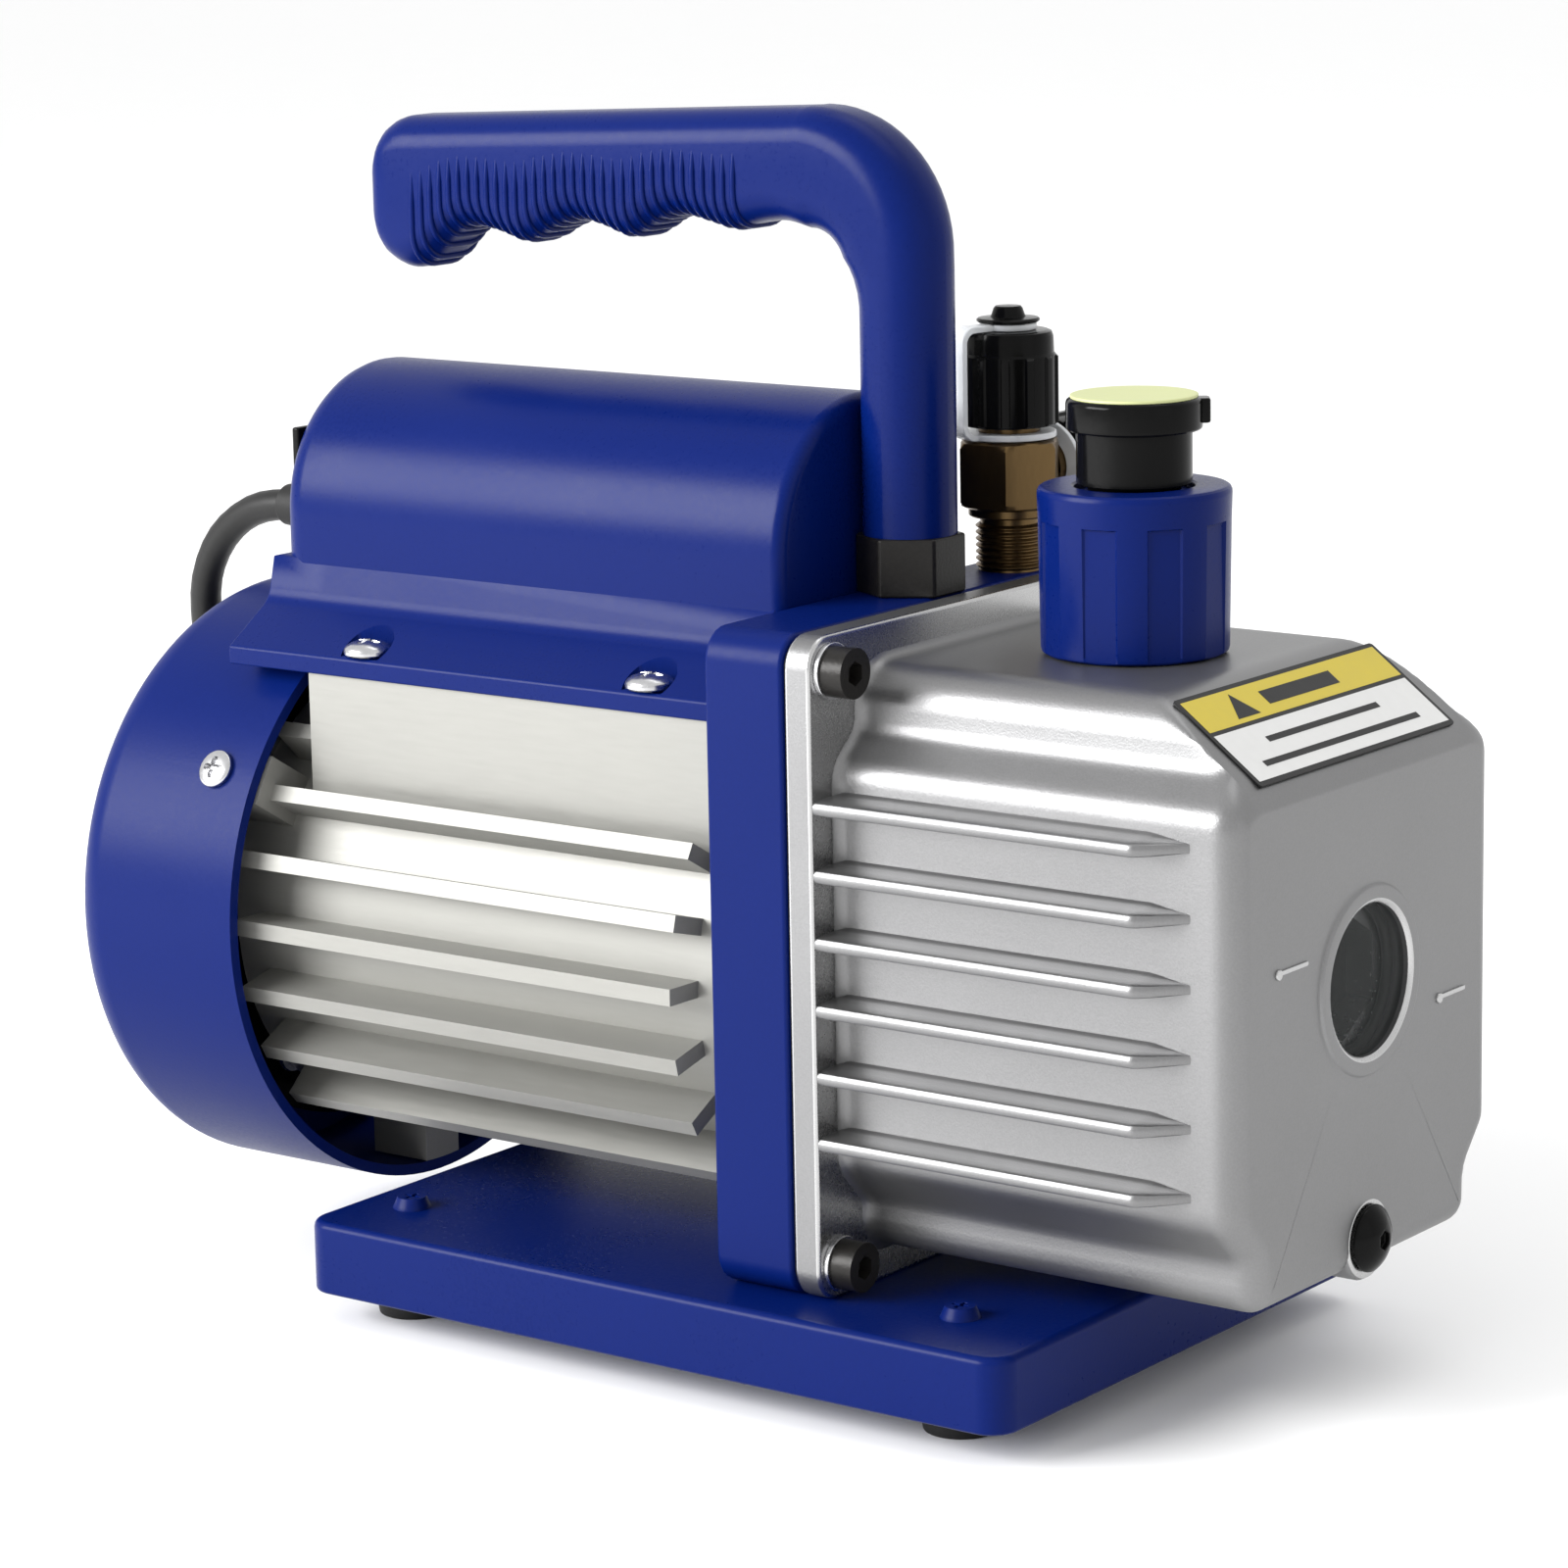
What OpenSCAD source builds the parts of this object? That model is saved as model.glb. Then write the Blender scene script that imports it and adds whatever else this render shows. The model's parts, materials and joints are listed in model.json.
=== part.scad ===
// Rotary vane vacuum pump: a finned motor, a bracket, and an oil casing that holds the vane pump.
// X runs along the shaft towards the sight glass, Y across, Z up; the floor is z = 0.

/* [Base] */
// Length of the base plate along the shaft
base_l = 162.4; // [150:0.2:180]
// Width of the base plate
base_w = 124.2; // [121:0.2:140]
// Thickness of the base plate
base_t = 14.3; // [10:0.1:18]
// Rear edge of the base plate
base_back = -70.95; // [-76:0.05:-66]
// Height of the rubber feet
foot_h = 6.5; // [5:0.1:10]
// Radius of the rubber feet
foot_r = 8; // [7:0.1:10]

/* [Bracket and casing] */
// Rear face of the bracket, where the motor meets it
bracket_back = 22.35; // [20:0.05:24]
// Thickness of the bracket along the shaft
bracket_t = 17.2; // [15:0.1:19]
// Half width of the bracket and of the casing flange
flange_hw = 52.6; // [51:0.1:54]
// Height of the bracket above the base plate
flange_h = 122.2; // [120:0.1:125]
// Thickness of the casing flange
flange_t = 5.6; // [4:0.1:7]
// Front face of the oil casing
casing_front = 129.05; // [125:0.05:133]
// Half width of the casing at its ribbed middle
casing_hw = 44.85; // [43:0.05:47]
// Half width of the casing at its narrow top and bottom
casing_neck_hw = 37.6; // [36:0.1:40]
// Thickness of the casing walls
casing_wall = 3.5; // [3:0.1:4.5]
// Number of ribs on each side of the casing
rib_count = 6; // [3:1:6]
// Distance from one rib to the next
rib_pitch = 12.35; // [11:0.05:13]
// Thickness of a rib
rib_t = 2.4; // [1.6:0.1:3]

/* [Motor] */
// Height of the shaft above the floor
axis_z = 73.5; // [73:0.1:75]
// Radius of the motor housing between its fins
housing_r = 45.5; // [44:0.1:47]
// Radius of the fin tips
fin_r = 54; // [50:0.1:55]
// Number of fins on each side
fin_count = 8; // [4:1:8]
// Angle from one fin to the next
fin_step = 14.5; // [12:0.1:15]
// Thickness of a fin
fin_t = 3.2; // [2:0.1:4]
// Outer radius of the fan cover
cover_r = 60; // [58:0.1:61]
// Length of the fan cover
cover_l = 43.9; // [40:0.1:46]
// Number of fan blades
fan_blades = 9; // [5:1:12]

/* [Terminal box] */
// Half width of the terminal box
box_hw = 28.3; // [26:0.1:30]
// Top of the terminal box
box_top = 179.5; // [176:0.1:182]
// Rear face of the terminal box
box_back = -101.4; // [-104:0.1:-98]
// Wall thickness of the terminal box
box_wall = 2.5; // [2:0.1:3.5]

/* [Handle] */
// Place of the handle's leg along the shaft
handle_x = 30.95; // [30:0.05:32]
// Radius of the handle's leg
leg_r = 8.8; // [8:0.1:10]
// Top of the handle
handle_top = 232.4; // [228:0.1:236]

/* [Ports] */
// Place of the exhaust knob along the shaft
knob_x = 80.25; // [78:0.05:82]
// Radius of the exhaust knob
knob_r = 17.6; // [16:0.1:19]
// Place of the intake fitting along the shaft
intake_x = 32.25; // [31:0.05:33]
// Place of the intake fitting across the pump
intake_y = 31; // [30:0.1:32]
// Radius of the flare threads on the intake fitting
flare_r = 5.5; // [5:0.1:6]

/* [Power cord] */
// Diameter of the power cord
cord_d = 6.5; // [6:0.1:7]

/* [Hidden] */
$fn = 48;
fine = 96;               // circles on large round parts
gap = 0.3;               // free space between pieces that move apart
run = 0.05;              // radial clearance of a running fit

base_top = foot_h + base_t;
base_front = base_back + base_l;
base_corner_r = 5;
foot_in_back = 12.4;     // foot screws, from the rear edge
foot_in_front = 20.8;    // foot screws, from the front edge
foot_y = 44;
foot_screw_r = 2;
foot_nut_af = 7;
foot_nut_t = 3;
foot_nut_z = 1.6;

bracket_front = bracket_back + bracket_t;
gasket_t = 0.6;
flange_back = bracket_front + gasket_t;
flange_front = flange_back + flange_t;
flange_top = base_top + flange_h;
flange_corner_r = 6;
bolt_y = flange_hw - 6.3;
bolt_z = [base_top + 6.5, flange_top - 6.5];
bolt_r = 2.5;
bolt_head_r = 4.6;
bolt_head_h = 4.6;
washer_t = 1;

casing_bottom = 28;
casing_top = 136;
shoulder_low = 46;       // ribbed middle of the casing, from here
shoulder_high = 118;     // up to here
shoulder_r = 5;
neck_r = 8;
slope_top_x = 107.75;    // the sloped label face meets the top here
slope_angle = 36.7;
rib_top_z = 112.4;
rib_hw = 52.2;
rib_end_x = 120.5;
rib_taper = 8;

glass_z = 81.4;
glass_boss_r = 17.2;
glass_hole_r = 13.8;
glass_r = 15;
glass_t = 2.5;
glass_x = casing_front - 3.5;
retainer_x = casing_front - 11;
drain_z = 34;
drain_r = 3.9;           // drain thread
drain_thread_l = 7.2;
drain_boss_r = 7.6;
drain_head_r = 6.2;
drain_head_h = 3.6;

housing_back = -94;
stator_r = 41;
stator_bore_r = 24;
rotor_r = 23.6;
stack = [-62, -2];       // lamination stack along X
shaft_r = 6;
bearing_r = 16;
bearing_w = 10;
bearing_x = [-104, 24];  // rear faces of the two bearings
bearing_pitch_r = 11;
ball_r = 2.9;
ball_count = 7;
saddle_hw = 41;          // flat-topped saddle under the terminal box
saddle_back = -83;
saddle_top = 123.5;
cover_back = -132.65;
cover_front = cover_back + cover_l;
fan_back = -122.6;
fan_r = 50;
cover_wall = 2.2;
cover_screw_x = -98.25;
cover_screw_angles = [31, 149, 270];

ledge_hw = 42;           // ledge that screws the terminal box down
ledge_top = 136;
ledge_edge = 127;
box_screw_x = [-69.7, -0.95];
box_screw_y = 38.6;
cord_exit = [box_back, 5, 147];
switch_pos = [box_back, -13, 156];
switch_w = 12;           // across
switch_h = 19;           // up
capacitor_r = 16;
capacitor_z = 151;

cylinder_r = 24;         // bore of the pump
vane_rotor_r = 20.4;
cylinder_drop = 3.5;     // the bore sits this far below the shaft
pump_x = [39.55, 84];    // pump cylinder along X
vane_t = 6;
stop_pin_r = 1.5;        // pins of the valve stop
stop_pin_l = 4;

inlet_y = 18.9;          // inlet port, in the gap under the rotor
inlet_z = 60.2;
bore_r = 3;              // upright drilling under the intake fitting
spigot_r = 5;            // foot of the intake fitting, in the bracket
spigot_l = 10;

shell_r = 43.3;          // middle of the motor housing's wall
shield_back = -100;
motor_screw_r = 1.8;
motor_screw_l = 10;

nut_af = 18;
nut_z = [143, 153.9];
stud_r = 4;
bend_r = 18.7;           // centre line of the handle's bend

knob_z = [136.3, 166.5];
knob_thread_r = 10;
knob_thread_l = 12;
plug_neck_r = 10.45;
plug_disc_z = 182.2;

neck_z = 168;            // top of the intake fitting's hexagon
cap_r = 9.4;
cap_l = 18;
side_cap_l = 13.8;
strap_turn = 252;          // way the top strap bows, about the port
side_strap_turn = 20;
flare_l = 12;

cord_r = cord_d / 2;
coil_x = -40;
coil_y = 123;
coil_mid_r = 36.75;
coil_half_w = 13;
// Free run of the cord, from the strain relief down to the floor and on to the coil
cord_route = [[-100, 5, 147], [-114, 5, 147], [-128, 5, 147], [-138.9, 5.6, 144.8], [-148.2, 6.4, 138.6],
    [-154.3, 7.6, 129.4], [-156.6, 9.5, 118.5], [-157.6, 12.8, 105.5], [-158.5, 17, 92], [-159.5, 22, 78],
    [-160.4, 27.5, 63], [-160.8, 33, 48], [-160, 39, 34.5], [-157.5, 46, 22], [-152.5, 53, 12.5],
    [-144.8, 59.5, 6.6], [-135, 65, 4], [-122, 70, 3.35], [-107, 73.8, 3.25], [-91, 76, 3.25],
    [-75, 76.5, 3.25], [-60, 76.5, 3.25]];

// ---- helpers

// A cylinder along +X from x
module xcyl(x, len, r, y = 0, z = axis_z, fn = $fn) {
    translate([x, y, z]) rotate([0, 90, 0]) cylinder(h = len, r = r, $fn = fn);
}

// A ring along +X from x
module xring(x, len, r_out, r_in, fn = $fn) {
    difference() {
        xcyl(x, len, r_out, fn = fn);
        xcyl(x - 1, len + 2, r_in, fn = fn);
    }
}

// A block between two corners
module block(a, b) {
    translate(a) cube(b - a);
}

// A rectangle with round corners, in 2-D, between two corners
module round_rect(a, b, r) {
    translate([a[0] + r, a[1]]) square([b[0] - a[0] - 2 * r, b[1] - a[1]]);
    translate([a[0], a[1] + r]) square([b[0] - a[0], b[1] - a[1] - 2 * r]);
    for (u = [a[0] + r, b[0] - r], v = [a[1] + r, b[1] - r]) translate([u, v]) circle(r = r);
}

// A 2-D outline in (y, z), extruded along +X from x
module x_extrude(x, len) {
    translate([x, 0, 0]) rotate([90, 0, 90]) linear_extrude(height = len) children();
}

// A 2-D outline in (x, z), extruded along Y and centred on y = 0
module y_extrude(width) {
    translate([0, width / 2, 0]) rotate([90, 0, 0]) linear_extrude(height = width) children();
}

module foot_places() {
    for (x = [base_back + foot_in_back, base_front - foot_in_front], y = [-foot_y, foot_y])
        translate([x, y, 0]) children();
}

module bracket_screw_places() {
    for (y = [-34, 34]) translate([bracket_back + bracket_t / 2, y, 0]) children();
}

// Screws that hold the bracket to the motor housing, heads in the bracket's front face
module bracket_motor_screw_places() {
    for (a = [60, 120, 240, 300]) translate([bracket_back + 5, shell_r * cos(a), axis_z + shell_r * sin(a)])
        rotate([0, 90, 0]) children();
}

// Screws that hold the rear end shield
module shield_screw_places() {
    for (a = [45 : 90 : 315]) translate([shield_back, shell_r * cos(a), axis_z + shell_r * sin(a)])
        rotate([0, -90, 0]) children();
}

// Oblique drilling from the pump's inlet back and outwards to the upright one under the intake fitting
module inlet_drilling() {
    back = bracket_front - intake_x;
    out = intake_y - inlet_y;
    translate([bracket_front + 1, inlet_y - out / back, inlet_z]) rotate([0, 0, -atan2(out, back)])
        rotate([0, -90, 0]) cylinder(h = norm([back, out]) + 1, r = 2);
}

module casing_bolt_places() {
    for (y = [-bolt_y, bolt_y], z = bolt_z) translate([flange_front, y, z]) rotate([0, 90, 0]) children();
}

// Places on a circle about the shaft, angle from -Y up towards +Z; children look outwards along +Z
module cover_screw_places() {
    for (a = cover_screw_angles) translate([cover_screw_x, 0, axis_z]) rotate([90 - a, 0, 0]) children();
}

module box_screw_places() {
    for (x = box_screw_x, s = [-1, 1]) translate([x, s * box_screw_y, 0]) children();
}

// ---- base

module base_plate() {
    color("mediumblue") difference() {
        translate([0, 0, foot_h]) linear_extrude(height = base_t)
            round_rect([base_back, -base_w / 2], [base_front, base_w / 2], base_corner_r);
        foot_places() translate([0, 0, foot_h - 1]) cylinder(h = base_t + 2, r = foot_screw_r + 0.2);
        bracket_screw_places() {
            translate([0, 0, foot_h - 1]) cylinder(h = base_t + 2, r = 2.7);
            translate([0, 0, foot_h - 1]) cylinder(h = 7, r = 5);
        }
    }
}

module rubber_feet() {
    color("black") foot_places() difference() {
        cylinder(h = foot_h, r1 = foot_r - 1, r2 = foot_r);
        translate([0, 0, foot_nut_z]) cylinder(h = foot_h, r = foot_screw_r + 0.1);
        translate([0, 0, foot_nut_z]) cylinder(h = foot_nut_t + 0.1, r = foot_nut_af / sqrt(3) + 0.1, $fn = 6);
    }
}

module foot_screws() {
    head_h = 2.2;
    color("royalblue") foot_places() difference() {
        union() {
            translate([0, 0, foot_nut_z + 0.4]) cylinder(h = base_top - foot_nut_z - 0.4, r = foot_screw_r);
            translate([0, 0, base_top]) cylinder(h = head_h, r1 = 3.8, r2 = 2.8);
        }
        for (a = [0, 90]) translate([0, 0, base_top + head_h]) rotate([0, 0, a]) cube([3.6, 0.8, 2.4], center = true);
    }
}

module foot_nuts() {
    color("silver") foot_places() difference() {
        translate([0, 0, foot_nut_z]) cylinder(h = foot_nut_t, r = foot_nut_af / sqrt(3), $fn = 6);
        cylinder(h = 10, r = foot_screw_r + 0.02);
    }
}

module bracket_screws() {
    color("dimgray") bracket_screw_places() difference() {
        union() {
            translate([0, 0, foot_h + 1]) cylinder(h = 5, r = 4.5);
            translate([0, 0, foot_h + 1]) cylinder(h = 24, r = bolt_r);
        }
        cylinder(h = foot_h + 3.5, r = 4 / sqrt(3), $fn = 6);
    }
}

// ---- bracket and casing

module pump_bracket() {
    color("mediumblue") difference() {
        x_extrude(bracket_back, bracket_t)
            round_rect([-flange_hw, base_top], [flange_hw, flange_top], flange_corner_r);
        xcyl(bracket_back - 1, bearing_x[1] + bearing_w - bracket_back + 1, bearing_r + run);
        xcyl(bracket_back, bracket_t + 1, 7);
        xcyl(bracket_front - 4, 5, 11 + run);
        casing_bolt_places() translate([0, 0, -20]) cylinder(h = 21, r = bolt_r + run);
        translate([handle_x, 0, flange_top - 14]) cylinder(h = 15, r = stud_r + run);
        translate([intake_x, intake_y, inlet_z - bore_r]) cylinder(h = flange_top, r = bore_r);
        translate([intake_x, intake_y, flange_top - spigot_l]) cylinder(h = flange_top, r = spigot_r + run);
        inlet_drilling();
        bracket_motor_screw_places() {
            translate([0, 0, -30]) cylinder(h = 40, r = motor_screw_r + 0.1);
            cylinder(h = 30, r = 4.2);
        }
        bracket_screw_places() translate([0, 0, base_top - 1]) cylinder(h = 12, r = bolt_r + run);
    }
}

module casing_gasket() {
    color("black") difference() {
        x_extrude(bracket_front, gasket_t)
            round_rect([-flange_hw + 1, base_top + 1], [flange_hw - 1, flange_top - 1], flange_corner_r - 1);
        x_extrude(bracket_front - 1, gasket_t + 2) casing_outline(casing_wall);
        casing_bolt_places() translate([0, 0, -10]) cylinder(h = 20, r = bolt_r + 0.2);
    }
}

// Outline of the casing in (y, z): a ribbed middle, wider than the top and the bottom
module casing_outline(inset) {
    round_rect([-casing_hw + inset, shoulder_low + inset], [casing_hw - inset, shoulder_high - inset], shoulder_r);
    round_rect([-casing_neck_hw + inset, casing_bottom + inset],
        [casing_neck_hw - inset, casing_top - inset], neck_r);
}

// The casing's outline along X, cut by the sloped face that carries the label
module casing_block(x, x_end, inset) {
    reach = 60;
    difference() {
        x_extrude(x, x_end - x) casing_outline(inset);
        translate([slope_top_x, -reach, casing_top]) rotate([0, slope_angle, 0])
            translate([-reach, 0, -inset]) cube([2 * reach, 2 * reach, reach]);
    }
}

module casing_ribs() {
    for (i = [0 : rib_count - 1]) translate([0, 0, rib_top_z - i * rib_pitch - rib_t / 2])
        linear_extrude(height = rib_t) polygon([[flange_front - 1, -rib_hw], [rib_end_x - rib_taper, -rib_hw],
            [rib_end_x, -casing_hw + 1], [rib_end_x, casing_hw - 1], [rib_end_x - rib_taper, rib_hw],
            [flange_front - 1, rib_hw]]);
}

module oil_casing() {
    color("silver") difference() {
        union() {
            x_extrude(flange_back, flange_t)
                round_rect([-flange_hw, base_top], [flange_hw, flange_top], flange_corner_r);
            casing_block(flange_front - 1, casing_front, 0);
            casing_ribs();
            xcyl(casing_front - 1, 1.6, glass_boss_r, z = glass_z);
        }
        difference() {
            casing_block(flange_back - 1, casing_front - casing_wall, casing_wall);
            xcyl(retainer_x, 20, glass_boss_r + 1.4, z = glass_z);
            xcyl(casing_front - 12, 20, drain_boss_r, z = drain_z);
        }
        xcyl(casing_front - 10, 20, glass_hole_r, z = glass_z);
        xcyl(retainer_x - 1, glass_x + glass_t - retainer_x + 1, glass_r + run, z = glass_z);
        xcyl(casing_front - 20, 30, drain_r + run, z = drain_z);
        translate([knob_x, 0, casing_top - 10]) cylinder(h = 20, r = knob_thread_r + run);
        casing_bolt_places() translate([0, 0, -20]) cylinder(h = 30, r = bolt_r + 0.3);
    }
}

module casing_bolts() {
    color("black") casing_bolt_places() difference() {
        union() {
            translate([0, 0, washer_t]) cylinder(h = bolt_head_h, r = bolt_head_r);
            translate([0, 0, -18]) cylinder(h = 18 + washer_t + 1, r = bolt_r);
        }
        translate([0, 0, washer_t + bolt_head_h - 2.6]) cylinder(h = 4, r = 4 / sqrt(3), $fn = 6);
    }
}

module casing_washers() {
    color("gainsboro") casing_bolt_places() difference() {
        cylinder(h = washer_t, r = bolt_head_r + 0.6);
        translate([0, 0, -1]) cylinder(h = 3, r = bolt_r + 0.1);
    }
}

// ---- sight glass, drain and label

module sight_glass_window() {
    color("lightcyan", 0.4) xcyl(glass_x, glass_t, glass_r, z = glass_z);
}

module sight_glass_seal() {
    color("black") translate([glass_x - 1, 0, glass_z]) rotate([0, 90, 0])
        rotate_extrude() translate([glass_r - 1.05, 0]) circle(r = 1);
}

module sight_glass_retainer() {
    length = glass_x - 2 - retainer_x;
    color("silver") difference() {
        xcyl(retainer_x, length, glass_r, z = glass_z);
        translate([retainer_x - 1, 0, glass_z]) rotate([0, 90, 0]) cylinder(h = length + 2, r = 12, $fn = 6);
    }
}

module drain_plug() {
    color("black") translate([casing_front + gap, 0, drain_z]) rotate([0, 90, 0]) difference() {
        union() {
            translate([0, 0, -drain_thread_l]) cylinder(h = drain_thread_l + 0.5, r = drain_r);
            intersection() {
                cylinder(h = drain_head_h - gap, r = drain_head_r);
                translate([0, 0, drain_head_h - gap - 8.6]) sphere(r = 8.6);
            }
        }
        translate([0, 0, drain_head_h - gap - 1.2]) cylinder(h = 3, r = 1.8, $fn = 6);
    }
}

module drain_plug_seal() {
    color("dimgray") translate([casing_front, 0, drain_z]) rotate([0, 90, 0]) difference() {
        cylinder(h = gap, r = drain_head_r - 0.4);
        translate([0, 0, -1]) cylinder(h = 3, r = drain_r + run);
    }
}

module caution_label() {
    label_l = 22;
    label_w = 67.4;
    color("gold") translate([slope_top_x, 0, casing_top]) rotate([0, slope_angle, 0])
        translate([1.9, -label_w / 2, 0]) cube([label_l, label_w, 0.3]);
}

// ---- exhaust knob

module exhaust_knob() {
    panels = 9;
    panel_w = 6.2;
    h = knob_z[1] - knob_z[0];
    color("mediumblue") translate([knob_x, 0, knob_z[0]]) difference() {
        union() {
            cylinder(h = h - 2, r = knob_r, $fn = fine);
            translate([0, 0, h - 2]) cylinder(h = 2, r1 = knob_r, r2 = knob_r - 1.4, $fn = fine);
            translate([0, 0, -knob_thread_l]) cylinder(h = knob_thread_l + 1, r = knob_thread_r);
        }
        for (i = [0 : panels - 1]) rotate([0, 0, 1 + i * 360 / panels])
            translate([knob_r - 0.6, -panel_w / 2, -1]) cube([2, panel_w, h - 5.3]);
        translate([0, 0, -knob_thread_l - 1]) cylinder(h = 80, r = 6);
        translate([0, 0, h - 9]) cylinder(h = 20, r = 8.5 + run);
    }
}

module exhaust_seal() {
    color("black") translate([knob_x, 0, casing_top]) difference() {
        cylinder(h = knob_z[0] - casing_top, r = knob_thread_r + 3);
        translate([0, 0, -1]) cylinder(h = 5, r = knob_thread_r + run);
    }
}

module exhaust_plug() {
    lip_h = 5.7;
    color("black") translate([knob_x, 0, 0]) difference() {
        union() {
            translate([0, 0, knob_z[1] - 8]) cylinder(h = 9, r = 8.5);
            translate([0, 0, knob_z[1] + 0.1]) cylinder(h = plug_disc_z - lip_h - knob_z[1] + 1, r = plug_neck_r);
            translate([0, 0, plug_disc_z - lip_h]) cylinder(h = lip_h, r = 12.3);
            rotate([0, 0, 35]) translate([11.7, -2.2, plug_disc_z - lip_h + 1]) cube([1.9, 4.4, lip_h - 0.6]);
        }
        translate([0, 0, knob_z[1] - 9]) cylinder(h = 18, r = 7);
    }
}

module exhaust_plug_disc() {
    color("palegoldenrod") translate([knob_x, 0, plug_disc_z]) cylinder(h = 0.6, r = 11.5);
}

// ---- intake fitting, with a port on top and one at the side

module flare_port() {
    cylinder(h = flare_l, r = flare_r);
}

module intake_fitting() {
    hex_af = 18;
    color("peru") translate([intake_x, intake_y, 0]) difference() {
        union() {
            translate([0, 0, flange_top]) cylinder(h = 13, r = 6.5);
            translate([0, 0, flange_top - spigot_l]) cylinder(h = spigot_l + 2, r = spigot_r);
            translate([0, 0, 155]) cylinder(h = neck_z - 155, r = hex_af / sqrt(3), $fn = 6);
            translate([0, 0, neck_z - 1]) cylinder(h = 3.4, r = 5.8);
            translate([0, 0, neck_z + 2]) flare_port();
            translate([0, 0, 161.5]) rotate([-90, 0, 0]) {
                cylinder(h = hex_af / 2 + 3.4, r = 5.8);
                translate([0, 0, hex_af / 2 + 3]) flare_port();
            }
        }
        translate([0, 0, flange_top - 11]) cylinder(h = 80, r = 2.6);
        translate([0, 0, 161.5]) rotate([-90, 0, 0]) cylinder(h = 60, r = 2.6);
    }
}

// A dust cap whose mouth is at z = 0, with a button on its closed end
module dust_cap(length) {
    color("black") difference() {
        union() {
            cylinder(h = length, r = cap_r - 0.6);
            cylinder(h = length - 4, r = cap_r);
            for (i = [0 : 11]) rotate([0, 0, i * 30]) translate([cap_r - 0.6, -0.7, 0]) cube([1.1, 1.4, length - 5]);
            translate([0, 0, length]) cylinder(h = 3, r = 3);
            translate([0, 0, length + 1.5]) cylinder(h = 0.8, r = 6);
            translate([0, 0, length + 2.2]) cylinder(h = 2.4, r1 = 3.4, r2 = 2.6);
        }
        translate([0, 0, -1]) cylinder(h = length - 1, r = flare_r + run);
    }
}

// A strap that holds a dust cap: a ring on the neck, a ring under the button, and a bow between them
module cap_strap(length) {
    strap_t = 1.2;
    strap_w = 4;
    drop = 2.3;              // from the cap's mouth down to the neck ring
    rise = length + drop + strap_t + 0.1;
    reach = 12.4;
    bow_r = 3.2;
    color("whitesmoke", 0.6) translate([0, 0, -drop]) {
        difference() {
            cylinder(h = strap_t, r = 9);
            translate([0, 0, -1]) cylinder(h = 5, r = 6);
        }
        translate([0, 0, rise - strap_t]) difference() {
            cylinder(h = strap_t, r = 5.4);
            translate([0, 0, -1]) cylinder(h = 5, r = 3.2);
        }
        translate([0, strap_w / 2, 0]) rotate([90, 0, 0]) linear_extrude(height = strap_w) difference() {
            round_rect([-reach, 0], [reach, rise], bow_r);
            round_rect([-reach, strap_t], [reach - strap_t, rise - strap_t], bow_r - strap_t);
            translate([-reach - 1, -1]) square([reach + 5.6, rise + 2]);
            translate([0, -1]) square([6.5, 3]);
        }
    }
}

module on_top_port() {
    translate([intake_x, intake_y, neck_z + 2.6]) children();
}

module on_side_port() {
    translate([intake_x, intake_y + 9 + 3.6, 161.5]) rotate([-90, 0, 0]) children();
}

module intake_cap() {
    on_top_port() dust_cap(cap_l);
}

module intake_strap() {
    on_top_port() rotate([0, 0, strap_turn]) cap_strap(cap_l);
}

module side_cap() {
    on_side_port() dust_cap(side_cap_l);
}

module side_strap() {
    on_side_port() rotate([0, 0, side_strap_turn]) cap_strap(side_cap_l);
}

// ---- handle

grip_hw = leg_r + 0.15;  // half the thickness of the grip, a little more than the leg

// Side outline of the handle in (x, z): leg, bend, grip with finger valleys and a drooping end
module handle_outline() {
    bend_c = [handle_x - bend_r, handle_top - grip_hw - bend_r];
    inner_r = 16;
    inner_c = [handle_x - grip_hw - inner_r, 195];
    valley_r = 22;
    difference() {
        union() {
            translate([handle_x - grip_hw, 160]) square([2 * grip_hw, bend_c[1] - 160]);
            intersection() {
                translate(bend_c) circle(r = bend_r + grip_hw);
                translate(bend_c) square(60);
            }
            polygon([[-83, 228.1], [bend_c[0], handle_top], [bend_c[0], inner_c[1]], inner_c + [-2, inner_r - 0.3],
                [-7.5, 208.5], [-31.8, 206.4], [-57.3, 204.4], [-78, 204.4], [-83, 207.8]]);
            translate(inner_c) square([inner_r + 2, bend_c[1] - inner_c[1] + 8]);
            translate([-83.1, 218.1]) circle(r = 10);
            translate([-83.4, 207.8]) circle(r = 9.7);
            translate([-93.1, 207.8]) square([12, 10.3]);
        }
        translate(inner_c) circle(r = inner_r);
        for (v = [[-71, 206.5], [-44.5, 208.7], [-20, 210.6]]) translate([v[0], v[1] - valley_r]) circle(r = valley_r);
    }
}

module handle() {
    leg_top = 190;
    color("mediumblue") difference() {
        union() {
            intersection() {
                y_extrude(2 * grip_hw) handle_outline();
                translate([-120, -30, leg_top]) cube([200, 60, 100]);
            }
            translate([handle_x, 0, nut_z[1]]) cylinder(h = leg_top - nut_z[1], r = leg_r);
        }
        translate([handle_x, 0, nut_z[1] - 1]) cylinder(h = 16, r = stud_r + run);
    }
}

module handle_stud() {
    color("silver") translate([handle_x, 0, flange_top - 13]) cylinder(h = 36, r = stud_r);
}

module handle_lock_nut() {
    color("black") translate([handle_x, 0, nut_z[0]]) rotate([0, 0, 30]) difference() {
        intersection() {
            cylinder(h = nut_z[1] - nut_z[0], r = nut_af / sqrt(3), $fn = 6);
            translate([0, 0, -1]) cylinder(h = 30, r = nut_af / 2 + 1.1);
        }
        translate([0, 0, -1]) cylinder(h = 30, r = stud_r + run);
    }
}

// ---- motor

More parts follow.
